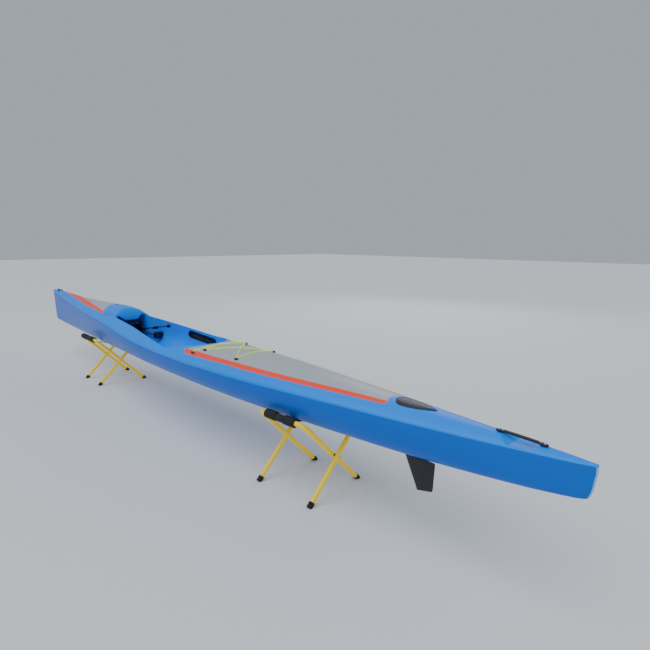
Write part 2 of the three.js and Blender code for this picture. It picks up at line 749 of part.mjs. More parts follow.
buildTrestle(TRESTLES[0]);
buildTrestle(TRESTLES[1]);
const shells = boatShells();
add('hull', 'hull_blue', shells.hull);
add('deck', 'deck_blue', shells.deck);
add('cockpit_tub', 'deck_blue', tub());
add('grip_port', 'black_plastic', grip(1));
add('grip_stbd', 'black_plastic', grip(-1));
HANDLES.forEach((handle) => add(`handle_${handle.name}`, 'black_plastic', handleBar(handle)));
add('rudder_blade', 'black_plastic', rudderBlade());
add('rudder_tube', 'grey_metal', rudderTube());
add('rudder_hatch_cover', 'black_plastic', hatchCover());
buildFootGear();
buildDeckGear();

export default model;
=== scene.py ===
"""A surfski lying in two folding trestles.

Metres, +X to the bow, +Y to port, +Z up, origin on the floor midway between the ends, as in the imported
model. Every new piece is a surface worked out as whole arrays: a grid of points that is a function of two
parameters.
"""

import math
from functools import partial

import bmesh
import bpy
import numpy as np
from bpy.props import FloatProperty, FloatVectorProperty, PointerProperty
from mathutils import Matrix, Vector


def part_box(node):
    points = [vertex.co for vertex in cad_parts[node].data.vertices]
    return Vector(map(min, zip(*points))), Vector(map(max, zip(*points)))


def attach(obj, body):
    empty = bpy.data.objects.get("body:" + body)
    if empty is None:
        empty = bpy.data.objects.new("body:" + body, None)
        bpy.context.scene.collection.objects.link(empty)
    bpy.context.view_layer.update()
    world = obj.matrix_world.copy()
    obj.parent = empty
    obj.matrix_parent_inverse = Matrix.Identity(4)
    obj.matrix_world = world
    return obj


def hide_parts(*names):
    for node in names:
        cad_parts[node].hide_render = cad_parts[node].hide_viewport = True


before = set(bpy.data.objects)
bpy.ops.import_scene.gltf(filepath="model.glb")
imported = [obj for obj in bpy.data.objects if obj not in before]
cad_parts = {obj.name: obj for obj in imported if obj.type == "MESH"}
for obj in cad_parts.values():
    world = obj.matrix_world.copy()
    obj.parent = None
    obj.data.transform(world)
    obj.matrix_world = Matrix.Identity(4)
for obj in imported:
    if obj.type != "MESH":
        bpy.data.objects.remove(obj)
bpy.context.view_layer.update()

bl_info = {
    "name": "Surfski on trestles",
    "version": (1, 0, 0),
    "blender": (4, 5, 0),
    "location": "View3D > Sidebar > Surfski",
    "description": "Builds the finished surfaces of a surfski and its two trestles around the packed model",
    "category": "Add Mesh",
}

MM = 0.001
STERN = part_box("hull")[0][0]
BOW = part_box("hull")[1][0]
RIGHT_ANGLE = math.pi / 2
X_AXIS, Y_AXIS, Z_AXIS = np.eye(3)


def table(names, rows):
    """Columns of a table by name, from rows in millimetres."""
    return dict(zip(names.split(), np.array(rows, float).T * MM))


# Sections of the boat from stern to bow. keel: height of the bottom. beam, knuckle: half width and height
# of the hull's upper edge. edge, edge_z: half width and height of the deck's edge. crown: height on the
# centre line.
STATIONS = table("x keel beam knuckle edge edge_z crown", [
    [-2700, 500, 6, 523, 4, 528, 530],
    [-2690, 436, 9, 523, 7, 528, 531],
    [-2678, 412, 12, 523, 9, 528, 531],
    [-2640, 402, 22, 522, 16, 529, 532],
    [-2400, 372, 60, 516, 46, 529, 541],
    [-2100, 350, 104, 511, 80, 531, 549],
    [-1800, 338, 141, 507, 110, 535, 560],
    [-1500, 330, 174, 501, 137, 540, 568],
    [-1200, 325, 203, 495, 160, 544, 575],
    [-900, 323, 225, 491, 180, 546, 576],
    [-600, 322, 237, 489, 196, 545, 569],
    [-300, 322, 240, 490, 214, 532, 545],
    [0, 321, 237, 497, 184, 550, 558],
    [300, 320, 226, 513, 152, 570, 577],
    [600, 316, 207, 534, 139, 581, 592],
    [720, 314, 197, 542, 139, 583, 650],
    [900, 312, 181, 548, 148, 578, 655],
    [1200, 310, 150, 553, 131, 582, 648],
    [1500, 310, 117, 557, 99, 598, 644],
    [1800, 312, 85, 565, 66, 613, 643],
    [2100, 317, 55, 578, 40, 634, 649],
    [2400, 326, 30, 599, 22, 648, 655],
    [2600, 335, 14, 617, 9, 652, 655],
    [2650, 339, 9, 624, 6, 651, 654],
    [2662, 348, 8, 626, 5.5, 651, 653],
    [2676, 456, 7, 628, 5, 650, 652],
    [2700, 612, 5, 633, 4, 649, 650],
])
BILGE = 2.3  # roundness of the bottom: 2 is an ellipse, more is squarer
# The deck's edge is soft up to here and turns crisp over the fade. Where it is crisp its roundness takes the
# roll of the deck and this share of the side.
SOFT_END, SOFT_FADE = 1.0, 0.15
CRISP_ROLL, CRISP_SIDE = 3 * MM, 0.06

# The cockpit's inner surface ahead of the seat's back. half: half width at the rim. floor: height in the
# middle.
COCKPIT = table("x half floor", [
    [-300, 209, 360],
    [-160, 192, 357],
    [-40, 180, 369],
    [80, 168, 396],
    [180, 157, 404],
    [300, 144, 404],
    [420, 134, 392],
    [480, 127, 376],
    [540, 121, 346],
    [680, 116, 334],
    [850, 110, 331],
    [930, 104, 336],
])
SQUARE = 3.0  # squareness of the cockpit's cross section
BACK_SQUARE, BACK_TURN = 2.1, 1.2  # the same for the seat's back, and how soon it is reached round the rim
SKIN = 12 * MM  # least thickness between the cockpit and the outside of the hull
RIM_TOP = 585 * MM
ARC_X, ARC_REACH = -300 * MM, 286 * MM  # the aft rim: an ellipse round this centre
LIP, LIP_FADE = 9 * MM, 30 * MM  # roundness of the rim, and the run over which it ends at the hump
BOWL_STEPS = 30  # faces from the rim to the cockpit's middle line
WALL_STEPS = 12
LIP_STEPS = 5

# The hump over the feet
HUMP_X = 680 * MM  # where it meets the rims
HUMP_LIP = 24 * MM  # how far its upper edge lies ahead of that on the centre line
HUMP_ROLL = 26 * MM  # how far ahead of its upper edge the top starts to round over
HUMP_FADE = 250 * MM  # run over which both wear off
# Bend of its aft face: shares of the way from the lower border to the upper edge, along x, y and z
FACE_BEND = np.array([-0.1, 0, 0.45])
WELL_END = 930 * MM
CAP = table("x half", [[680, 116], [750, 119], [850, 127], [900, 131]])  # half width of the raised part
CAP_SHARE = 0.885  # the same as a share of the deck's edge, ahead of the last row
CAP_ARC = (985 * MM, 4.9)  # its fore border: x on the centre line, and how fast that falls with y squared
CAP_STEP = 12 * MM
CAP_FLAT = 0.7  # how flat its section is: 1 is a parabola, less is flatter on top
CAP_LEAD = 50 * MM  # it reaches this far aft of the rims' ends
# Lower border of its aft face, by distance from the middle plane
BORDER = table("y x z", [
    [0, 668, 560], [45, 668, 562], [56, 668, 567], [66, 670, 576], [80, 676, 588],
    [94, 680, 594], [105, 680, 588], [116, 680, 583],
])

# Carrying grips in the cockpit's walls
GRIP_PLACE = np.array([-88, 186, 497]) * MM
GRIP_LONG, GRIP_HIGH = 322 * MM, 60 * MM
GRIP_TILT, GRIP_TURN = 0.085, 0.103
BEZEL_RADIUS, BEZEL_BAND = 25 * MM, 6 * MM  # points of the wall this near to the radius are drawn on to it
POCKET_RADIUS, POCKET_PUSH = 19 * MM, 37 * MM  # points inside this radius are moved this far out
POCKET_REACH = 40 * MM  # both only for points this near to the grip's plane
# Section of a grip, from the outer foot of its bezel into the pocket: radius and depth out of the boat
GRIP_PROFILE = MM * np.array([
    (30, 3), (30, -2.2), (29.6, -3.1), (28.6, -3.8), (27.2, -4), (22.8, -4), (21.2, -3.7), (20.2, -2.9),
    (19.7, -1.8), (19.4, 0), (19.2, 4), (18.9, 9), (18.0, 12.6), (16, 14.4), (12, 15), (0.01, 15),
])

# Handles over a scoop in the deck. floor: height of the scoop. aft, fore: ends of the scoop's level floor.
HANDLES = {
    "stern": dict(x=-2.464, length=0.178, floor=0.5216, aft=-2.514, fore=-2.439),
    "bow": dict(x=2.480, length=0.150, floor=0.631, aft=2.445, fore=2.492),
}
RAMP_AFT, RAMP_FORE = 15 * MM, 37 * MM
HANDLE_SQUARE = 3.2  # squareness of their section
FOOT_START, FOOT_RUN = 0.62, 0.16  # their feet come down here, as shares of the half length from the middle
HANDLE_UNDER = 3.2 * MM, 0.5 * MM  # underside over the crown, in the middle and at the feet
HANDLE_HALF = 7.2 * MM, 9 * MM  # half width, in the middle and at the feet
HANDLE_TOP = 11.2 * MM, 11.8 * MM  # top at the ends and in the middle
HANDLE_TIP = 0.15  # share of the thickness that is left at their very ends
SCREW_BACKS = (11 * MM, 25 * MM)  # distance of their screws from the end of the bar
SCREW_TOP = 10.9 * MM  # height of the screws over the crown

BUNGEE_ROUTE = MM * np.array([
    [-628, 184], [-690, -140], [-983, 124], [-985, -122], [-676, 131], [-628, -184],
])
CROSSINGS = ((0, 4), (1, 3))  # runs of the bungee that cross, the lower one first

# Trestles: x of the middle, turn about the vertical, side of the outer frame's top bar
TRESTLES = {"aft": (-1.430, 0.045, -1), "fore": (1.095, 0.0, 1)}
# Half spacing of a frame's legs, and the side of its top bar against that of the outer frame
FRAMES = {"outer": (0.178, 1), "inner": (0.150, -1)}
SLING_WRAP = (290, -90)  # degrees round a top bar between which the sling lies on it
SLING_TOUCH = 0.28  # share of the hull's half width along which it follows the bottom

# Outlines of the paint, as half widths along the boat. Between the two lines of an end lies its orange
# stripe, and inside the inner line the grey panel.
AFT_OUT = [
    (-1.948, .049), (-1.940, .072), (-1.850, .084), (-1.729, .100), (-1.598, .117), (-1.456, .1345),
    (-1.298, .151), (-1.119, .166), (-.968, .175), (-.805, .185), (-.686, .191), (-.560, .197), (-.500, .165),
]
AFT_IN = [
    (-1.948, .0455), (-1.935, .0475), (-1.829, .0605), (-1.705, .0755), (-1.571, .0925), (-1.426, .1095),
    (-1.264, .126), (-1.077, .1385), (-.982, .1455), (-.872, .151), (-.757, .156), (-.52, .158), (-.5, .16),
]
FORE_OUT = [
    (.84, .138), (.954, .130), (1.092, .1156), (1.274, .1019), (1.366, .0955), (1.476, .0845), (1.61, .0695),
    (1.724, .0565), (1.869, .0395), (1.970, .0320), (2.092, .0235), (2.309, .003), (2.34, .0),
]
FORE_IN = [
    (.84, .120), (.959, .112), (1.157, .0855), (1.3125, .067), (1.475, .045), (1.719, .016), (1.87, .0),
    (2.34, .0),
]
PANEL_ARC = (-0.30, 0.300, 0.223)  # ellipse round the seat that bounds the aft panel: middle and half sizes
PANEL_END = (-2.001, 0.076)  # circle round the hatch that bounds it at its aft end
PANEL_FLOOR = 0.57  # the fore panel lies above this height
HIGHLIGHT_WIDTH, HIGHLIGHT_END = 4 * MM, -2.6  # painted highlight along the stern's stem edge: its width, and where it ends
# colour of the painted highlight on the stem edge
HIGHLIGHT_BLUE = (0.2, 0.5, 0.95)

# Round-edged blocks of the foot gear, in mm: width, height, corner radius, thickness, edge radius
BLOCKS = {
    "rail_stop": (13.4, 13.4, 3, 9, 2),
    "pedal": (64, 50, 8, 7, 1.6),
    "pedal_rib": (52, 3, 1.2, 2, 0.6),
    "plate": (160, 98, 10, 8, 2),
    "plate_rib": (124, 4, 1.6, 3, 1),
    "plate_sleeve": (24, 24, 4, 76, 3),
}
RAIL_X = np.array([372, 374, 650, 938.5, 940]) * MM  # cross sections of a rail
RAIL_STOP_X = 366.5 * MM
# Section of a rail, as shares of its half size, open at the top
CHANNEL = np.array([(0.62, 1), (0.62, -0.45), (-0.62, -0.45), (-0.62, 1), (-1, 1), (-1, -1), (1, -1), (1, 1)])
SLEEVE_TOP = 12.3 * MM  # top of the plate's sleeves over the middle of the rails
BOLT_X = np.array([431, 503, 562, 632]) * MM  # bolts in the wall above a rail
BOLT_Z, BOLT_SLOPE = 492 * MM, 0.07  # height of the first of them, and how the others rise
BOLT_GAP = 0.5 * MM  # between the wall and the foot of a bolt's head
# Blocks of a clamp: middle, width, height, and distance of the inner face from the middle plane
CLAMP = table("x wide high inner", [
    [410, 46, 44, 66.5], [397, 6, 47, 64.5], [410, 6, 47, 64.5], [423, 6, 47, 64.5],
])
CLAMP_CORNER, CLAMP_EDGE = 2.8 * MM, 2.5 * MM
CLAMP_SUNK = 1 * MM  # how far a clamp goes into the wall
PEDAL_Y, PEDAL_Z = 66 * MM, 507.3 * MM
PEDAL_RIBS = np.arange(-16, 17, 8) * MM  # heights of the ribs over the middle
PLATE_Z = 433 * MM
PLATE_RIBS = np.arange(-39, 28, 11) * MM
PEDAL_BACK, PLATE_BACK, SLEEVE_BACK = 3.5 * MM, 4 * MM, 66 * MM  # how far aft of the plate's face they lie
PEDAL_PROUD, PLATE_PROUD = 1.2 * MM, 1.6 * MM  # how far the ribs stand out
STRAP_RISE, STRAP_HALF = 59.5 * MM, 86.5 * MM  # height and half width of the strap's arch
STRAP_THICK, STRAP_EDGE = 3 * MM, 1.2 * MM
STRAP_BACK = 4.3 * MM  # how far aft of the plate's face its fore edge lies
PATCH_X, PATCH_Y = (0.651, 0.0115), (-0.060, 0.031)  # the strap's blank patch: middle and half size
ROD_FORE = np.array([0.654, -0.074])  # where the adjusting rod starts on its sleeve
ROD_KNOB = np.array([0.240, -0.098, 0.554])
ROD_GRIP_X = 0.440
KNOB, ROD_GRIP = (14 * MM, 14 * MM, 3.2), (35 * MM, 12 * MM, 12)  # half length, radius, squareness
FLUTES, FLUTE_DEPTH, FLUTED_HALF = 12, 0.035, 9 * MM  # of the knob: number, share of its radius, half length
WAVE_PITCH, WAVE_DEPTH = 7 * MM, 0.05  # of the grip

HATCH_FOOT = 535 * MM  # the underside of the hatch cover
# Stock of the rudder, and the eye on the hump: radius and height
STOCK_X = -2.030
STOCK = MM * np.array([
    (0, 330), (7.5, 331), (9, 333), (9, 341.5), (8, 343), (5, 343.6), (5, 446), (4.2, 447), (0, 447),
])
EYE_X = 0.944
EYE = MM * np.array([
    (0, -3), (9, -3), (8.6, 0.6), (7.6, 2.4), (6, 3.6), (4.6, 3.8), (3.6, 3.4), (3, 1.6), (0, 1.2),
])
# Button head with a recess in its middle, as shares of its radius and height
BUTTON = np.array([
    (0, -1), (1, -1), (1, 0), (0.97, 0.3), (0.8, 0.75), (0.5, 1), (0.42, 1), (0.36, 0.9), (0.33, 0.25),
    (0, 0.2),
])

# Radius and height of the heads of screws, bolts and rivets
HANDLE_SCREW, WALL_BOLT, PAD_SCREW, RIVET = np.array([(5, 1.3), (5, 2), (3.4, 1), (6, 3)]) * MM

# The bungee's fittings, in mm: inset and height of each level, in the middle of the route and at its ends
PAD_LEVELS = [(-1, -3), (-0.6, 0.8), (0.2, 2.2), (1.2, 4.2), (2.8, 6.2), (4.6, 7.4), (6.2, 7.9)]
END_LEVELS = [(-1, -3), (-0.4, 1.2), (0.8, 3.0), (2.6, 4.4), (4.4, 4.8)]
PAD_TOP = 7.6 * MM  # where the screw's head sits
PAD_LONG, PAD_WIDE, END_RADIUS = 26 * MM, 16 * MM, 8.5 * MM

PIN_RADIUS, PIN_GAP = 9 * MM, 0.3 * MM  # of a trestle's spacer, and between it and the tubes
HEAD_SEAT = 0.6 * MM  # how deep a rivet's head sits in a tube

# Lamps: name, kind, place, diameter or for a sun its angle, power, colour
LAMPS = [
    ("sky", "SUN", (1.0, 3.0, 6.0), math.radians(60), 1.55, (0.86, 0.94, 1.0)),
    ("window", "AREA", (-6.0, 4.0, 3.2), 4.0, 60.0, (1.0, 0.98, 0.95)),
    ("rim", "AREA", (2.0, -6.0, 3.5), 4.0, 60.0, (0.95, 0.98, 1.0)),
]
LAMP_AIM = 0.4 * Z_AXIS
STUDIO, STUDIO_STRENGTH = (0.8, 0.88, 1.0, 1), 0.5  # light from all round
SENSOR = 36.0  # width of the camera's picture, in mm
FLOOR_DROP = 0.5 * MM  # how far the floor lies below the feet

WELD, FINE_WELD = 1e-5, 1e-6  # double points this near are merged
SMOOTH_ANGLE, CREASE_ANGLE = math.radians(40), math.radians(20)
SIDES = (("port", 1), ("stbd", -1))
ENDS = (("a", -1), ("b", 1))


def along(rows, column, x, by="x"):
    """Value of a table's column at x: a cubic between each two rows whose slopes never overshoot."""
    xs, ys = rows[by], rows[column]
    x = np.clip(np.asarray(x, float), xs[0], xs[-1])
    i = np.clip(np.searchsorted(xs, x, side="right") - 1, 0, len(xs) - 2)
    width = np.diff(xs)
    rise = np.diff(ys) / width
    before, after = rise[:-1], rise[1:]
    total = np.where(before + after == 0, 1, before + after)
    middle = np.where(before * after <= 0, 0, 2 * before * after / total)
    slope = np.concatenate([rise[:1], middle, rise[-1:]])
    t = (x - xs[i]) / width[i]
    bend = width[i] * t * (1 - t) * ((1 - t) * slope[i] - t * slope[i + 1])
    return partway(ys[i], ys[i + 1], ease(t)) + bend


def station(column, x):
    """Value of the boat's sections at x."""
    return along(STATIONS, column, x)


def partway(a, b, t):
    """Value at a share t of the way from a to b."""
    return a + (b - a) * t


def quarter(t):
    """1 to 0 along a quarter circle, for t from 0 to 1."""
    return np.sqrt(np.clip(1 - t**2, 0, 1))


def squircle(t, power):
    """1 to 0 along a quarter of a superellipse, for t from 0 to 1."""
    return (1 - np.clip(t, 0, 1) ** power) ** (1 / power)


def ease(t):
    """0 to 1 with level ends."""
    t = np.clip(t, 0, 1)
    return t * t * (3 - 2 * t)


def end_round(x, radius=5 * MM):
    """Share of the half widths that is left close to both ends of the boat: a quarter circle."""
    near = np.minimum(np.minimum(x - STERN, BOW - x) / radius, 1)
    return quarter(1 - near)


def hull_half(x, z):
    """Half width of the hull's outside at height z, below the knuckle."""
    knuckle = station("knuckle", x)
    return station("beam", x) * squircle((knuckle - z) / (knuckle - station("keel", x)), BILGE)


def bottom_z(x, y):
    """Height of the hull's bottom at y."""
    knuckle = station("knuckle", x)
    return knuckle - (knuckle - station("keel", x)) * squircle(np.abs(y) / station("beam", x), BILGE)


def deck_z(x, y):
    """Height of the plain deck: a parabola from the crown down to the deck's edge."""
    crown = station("crown", x)
    return crown - (crown - station("edge_z", x)) * (y / station("edge", x)) ** 2


def cap_half(x):
    """Half width of the raised part of the hump, and of the line that carries its side on to the bow."""
    return np.where(x < CAP["x"][-1], along(CAP, "half", x), CAP_SHARE * station("edge", x))


def deck_top(x, y):
    """Height of the deck with the hump: over the plain deck stands a dome, full at the sides, that ends in
    a low step along an arc."""
    cap = cap_half(x)
    border = deck_z(x, cap)
    share = np.clip(np.abs(y) / cap, 0, 1)
    dome = partway(border, station("crown", x), (1 - share**2) ** CAP_FLAT)
    arc = CAP_ARC[0] - CAP_ARC[1] * y**2
    mask = ease((arc + CAP_STEP - x) / CAP_STEP) * (x > HUMP_X - CAP_LEAD)
    return partway(deck_z(x, y), dome, mask)


def scooped(points):
    """Points of the deck, lowered into the handles' scoops: a level floor with a ramp at each end."""
    x, z = points[..., 0], points[..., 2]
    for handle in HANDLES.values():
        rise = station("crown", handle["x"]) - handle["floor"] + 1 * MM
        ramp = np.maximum((handle["aft"] - x) / RAMP_AFT, (x - handle["fore"]) / RAMP_FORE)
        z = np.minimum(z, handle["floor"] + rise * np.maximum(ramp, 0))
    return np.stack([x, points[..., 1], z], axis=-1)


def places(spans):
    """Rising x values through the listed ends, each span with its own longest step."""
    parts = [np.linspace(a, b, max(2, math.ceil((b - a) / step)), endpoint=False) for a, b, step in spans]
    return np.concatenate([*parts, [spans[-1][1]]])


def at(x, y, z):
    return np.stack(np.broadcast_arrays(x, y, z), axis=-1)


def unit(v):
    """Vectors at length one."""
    return v / np.maximum(np.linalg.norm(v, axis=-1, keepdims=True), 1e-12)


def quadratic(a, c, b, t):
    """Quadratic curve from a to b with its middle point at c."""
    return (1 - t) ** 2 * a + 2 * t * (1 - t) * c + t**2 * b


def corner(a, c, b, steps):
    """Points round a corner c from a to b: a quadratic curve for each row. a, b, c: rows by 3."""
    t = np.linspace(0, 1, steps + 1)[None, :, None]
    return quadratic(a[:, None], c[:, None], b[:, None], t)


def straight(a, b, steps):
    """Points from a to b, each rows by 3."""
    t = np.linspace(0, 1, steps + 1)[None, :, None]
    return a[:, None, :] * (1 - t) + b[:, None, :] * t


def joined(*grids):
    """Grids side by side, each starting where the one before it ends."""
    return np.concatenate([grids[0]] + [g[:, 1:] for g in grids[1:]], axis=1)


# Outlines: closed rings of points in a plane, counter-clockwise


def polar(angle):
    """Points of the unit circle."""
    return np.stack([np.cos(angle), np.sin(angle)], axis=-1)


def circle(radius, sides=24):
    return radius * polar(np.linspace(0, 2 * math.pi, sides, endpoint=False))


def rounded(width, height, radius, steps=5):
    """Rectangle with round corners: a quarter circle round each corner's centre."""
    quarter = np.linspace(0, RIGHT_ANGLE, steps + 1)
    angle = (quarter[None, :] + RIGHT_ANGLE * np.arange(4)[:, None]).ravel()
    middle = np.repeat([[1, 1], [-1, 1], [-1, -1], [1, -1]], steps + 1, axis=0)
    return middle * [width / 2 - radius, height / 2 - radius] + radius * polar(angle)


def stadium(length, height, steps=20):
    """Two half circles joined by straight sides."""
    return rounded(length, height, height / 2 - 1e-6, steps)


# Solids: each is a closed grid whose columns go round and whose end rows shrink to a point


def axes_along(path, up):
    """Tangent of a path, and the two directions across it: up crossed with the tangent, and the third
    one."""
    tangent = unit(np.gradient(path, axis=0))
    side = unit(np.cross(up, tangent))
    return tangent, side, np.cross(tangent, side)


def swept(path, outline, up):
    """An outline carried along a path. up: a direction that the path never takes. outline: one ring for the
    whole path or one for each of its points."""
    _, side, over = axes_along(path, up)
    outline = np.broadcast_to(outline, (len(path), *outline.shape[-2:]))
    grid = path[:, None] + outline[..., :1] * side[:, None] + outline[..., 1:] * over[:, None]
    ends = [np.repeat(grid[k].mean(axis=0)[None, None], grid.shape[1], axis=1) for k in (0, -1)]
    return np.concatenate([ends[0], grid, ends[1]])


def stacked(outline, levels, origin, e1, e2, e3):
    """Copies of an outline on top of each other: each is moved in by its inset and raised to its height.
    levels: rows of inset and height. e1, e2, e3: directions of the outline's plane and of the height."""
    ahead = np.roll(outline, -1, axis=0) - np.roll(outline, 1, axis=0)
    normal = unit(np.stack([ahead[:, 1], -ahead[:, 0]], axis=-1))
    levels = np.asarray(levels, float)
    flat = outline[None] - normal[None] * levels[:, :1, None]
    end = np.broadcast_to(outline.mean(axis=0), flat[:1].shape)
    flat = np.concatenate([end, flat, end])
    height = np.concatenate([levels[:1, 1], levels[:, 1], levels[-1:, 1]])[:, None, None]
    return origin + flat[..., :1] * e1 + flat[..., 1:] * e2 + height * e3


def slab_levels(thick, radius, steps=4):
    """Insets and heights of a plate with round edges, from its lower face at 0 to its upper face."""
    turn = np.linspace(0, RIGHT_ANGLE, steps + 1)
    low = np.stack([radius * (1 - np.sin(turn)), radius * (1 - np.cos(turn))], axis=-1)
    high = np.stack([low[::-1, 0], thick - low[::-1, 1]], axis=-1)
    return np.concatenate([low, high])


def rounded_block(wide, high, corner_radius, thick, edge_radius, place, axes):
    """Plate with round corners and edges: a rounded rectangle, stacked along the third axis."""
    return stacked(rounded(wide, high, corner_radius), slab_levels(thick, edge_radius), place, *axes)


def block(kind, place):
    """One of the listed blocks, its thickness running forward from its place."""
    return rounded_block(*(size * MM for size in BLOCKS[kind]), place, (Y_AXIS, Z_AXIS, X_AXIS))


def turned(profile, origin, axis, sides=32):
    """A profile of radius and height, in metres, turned about an axis through the origin."""
    across = unit(np.cross(axis, X_AXIS if abs(axis[0]) < 0.8 else Y_AXIS))
    over = np.cross(axis, across)
    profile = np.asarray(profile, float)
    ring = circle(1.0, sides)
    spokes = ring[:, :1] * across + ring[:, 1:] * over
    return origin + profile[:, None, :1] * spokes[None] + profile[:, None, 1:] * np.asarray(axis)


def bolt_head(origin, axis, radius, high):
    """Low button head with a recess in its middle."""
    return turned(BUTTON * [radius, high], np.asarray(origin, float), np.asarray(axis, float), 24)


def put(name, grids, closed=True, weld=WELD, solid=True, attributes=None, smooth_angle=SMOOTH_ANGLE):
    """One mesh object from grids of points, each rows by columns by 3. In a closed grid the last column
    joins the first. Double points are merged, and faces are turned outwards on a solid."""
    points, faces = [], []
    start = 0
    for grid in grids:
        rows, columns = grid.shape[:2]
        index = start + np.arange(rows * columns).reshape(rows, columns)
        if closed:
            index = np.concatenate([index, index[:, :1]], axis=1)
        quads = np.stack([index[:-1, :-1], index[:-1, 1:], index[1:, 1:], index[1:, :-1]], axis=-1)
        faces.append(quads.reshape(-1, 4))
        points.append(grid.reshape(-1, 3))
        start += rows * columns
    points, faces = np.concatenate(points), np.concatenate(faces)
    mesh = bpy.data.meshes.new(name)
    mesh.vertices.add(len(points))
    mesh.vertices.foreach_set("co", points.astype(np.float32).ravel())
    mesh.loops.add(faces.size)
    mesh.loops.foreach_set("vertex_index", faces.ravel().astype(np.int32))
    mesh.polygons.add(len(faces))
    mesh.polygons.foreach_set("loop_start", np.arange(0, faces.size, 4, dtype=np.int32))
    mesh.polygons.foreach_set("loop_total", np.full(len(faces), 4, dtype=np.int32))
    mesh.update(calc_edges=True)
    for key, values in (attributes or {}).items():
        layer = mesh.attributes.new(key, "FLOAT", "POINT")
        layer.data.foreach_set("value", values.astype(np.float32).ravel())
    work = bmesh.new()
    work.from_mesh(mesh)
    bmesh.ops.remove_doubles(work, verts=work.verts, dist=weld)
    bmesh.ops.dissolve_degenerate(work, edges=work.edges, dist=weld / 10)
    if solid:
        bmesh.ops.recalc_face_normals(work, faces=work.faces)
    work.to_mesh(mesh)
    work.free()
    mesh.polygons.foreach_set("use_smooth", np.ones(len(mesh.polygons), dtype=bool))
    mesh.set_sharp_from_angle(angle=smooth_angle)
    piece = bpy.data.objects.new(name, mesh)
    bpy.context.scene.collection.objects.link(piece)
    return piece


def build(name, grids, look, nodes=(), body="boat", **shape):
    """A piece from its grids, on its body, standing for its nodes. look: its material."""
    piece = put(name, grids, **shape)
    piece.data.materials.append(material(look))
    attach(piece, body)
    if nodes:
        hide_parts(*nodes)
    return piece


def thicken(piece, depth):
    """A wall of the given thickness on the inside of an open sheet."""
    wall = piece.modifiers.new("wall", "SOLIDIFY")
    wall.thickness = depth
    wall.offset = -1


def aimed(name, data, place, right, over, ahead):
    """A camera or lamp at its place, looking ahead. right, over: the right and the upper side of its view."""
    thing = bpy.data.objects.new(name, data)
    pose = np.eye(4)
    pose[:3, :3] = np.stack([right, over, -ahead], axis=1)
    pose[:3, 3] = place
    thing.matrix_world = Matrix(pose.tolist())
    bpy.context.scene.collection.objects.link(thing)
    return thing


# Materials


def surface_of(made):
    return made.node_tree.nodes["Principled BSDF"]


def shader(name, color, roughness, **inputs):
    """A node material with these values on its shader's sockets. Any light it gives off has its colour."""
    made = bpy.data.materials.new(name)
    made.use_nodes = True
    sockets = surface_of(made).inputs
    sockets["Base Color"].default_value = (*color, 1)
    sockets["Roughness"].default_value = roughness
    if "Emission_Strength" in inputs:
        sockets["Emission Color"].default_value = (*color, 1)
    for key, value in inputs.items():
        sockets[key.replace("_", " ")].default_value = value
    return made


def node(made, kind, **inputs):
    """A new shader node with these values on its sockets."""
    new = made.node_tree.nodes.new("ShaderNode" + kind)
    for key, value in inputs.items():
        new.inputs[key].default_value = value
    return new


def link(made, source, target):
    made.node_tree.links.new(source, target)


def feed(made, value, socket):
    """A number, a colour or a node's output on a socket."""
    if isinstance(value, bpy.types.NodeSocket):
        link(made, value, socket)
    else:
        socket.default_value = value


def maths(made, operation, *values):
    """A Math node on values, each a number or a node's output."""
    step = node(made, "Math")
    step.operation = operation
    for socket, value in zip(step.inputs, values):
        feed(made, value, socket)
    return step.outputs[0]


def coordinates(made):
    """Object coordinates."""
    return node(made, "TexCoord").outputs["Object"]


def object_place(made):
    """X, Y and Z of the Object coordinates."""
    parts = node(made, "SeparateXYZ")
    link(made, coordinates(made), parts.inputs[0])
    return parts.outputs


def noise(made, scale, detail=2.0, stretch=(1, 1, 1)):
    """Noise on Object coordinates."""
    mapping = node(made, "Mapping", Scale=stretch)
    texture = node(made, "TexNoise", Scale=scale, Detail=detail)
    link(made, coordinates(made), mapping.inputs["Vector"])
    link(made, mapping.outputs["Vector"], texture.inputs["Vector"])
    return texture.outputs["Fac"]


def spread(made, source, low, high, start=0.0, end=1.0):
    """A value from start to end spread to low to high."""
    scale = node(made, "MapRange")
    for socket, value in zip(scale.inputs[:5], (source, start, end, low, high)):
        feed(made, value, socket)
    return scale.outputs[0]


def attribute(made, name):
    new = node(made, "Attribute")
    new.attribute_name = name
    return new.outputs["Fac"]


def bump(made, source, depth, strength=0.5):
    """Bump of the given depth in metres from a height."""
    relief = node(made, "Bump", Strength=strength, Distance=depth)
    link(made, source, relief.inputs["Height"])
    link(made, relief.outputs["Normal"], surface_of(made).inputs["Normal"])


def mixed(made, factor, a, b):
    """Colour a where factor is 0 and b where it is 1; each is a colour or a node's output."""
    mix = node(made, "Mix")
    mix.data_type = "RGBA"
    link(made, factor, mix.inputs["Factor"])
    for socket, value in ((mix.inputs[6], a), (mix.inputs[7], b)):
        feed(made, value if isinstance(value, bpy.types.NodeSocket) else (*value, 1), socket)
    return mix.outputs[2]


def shade(color, factor):
    return tuple(min(1, c * factor) for c in color)


def paint_in(made, tone, roughness=None):
    link(made, tone, surface_of(made).inputs["Base Color"])
    if roughness is not None:
        link(made, roughness, surface_of(made).inputs["Roughness"])


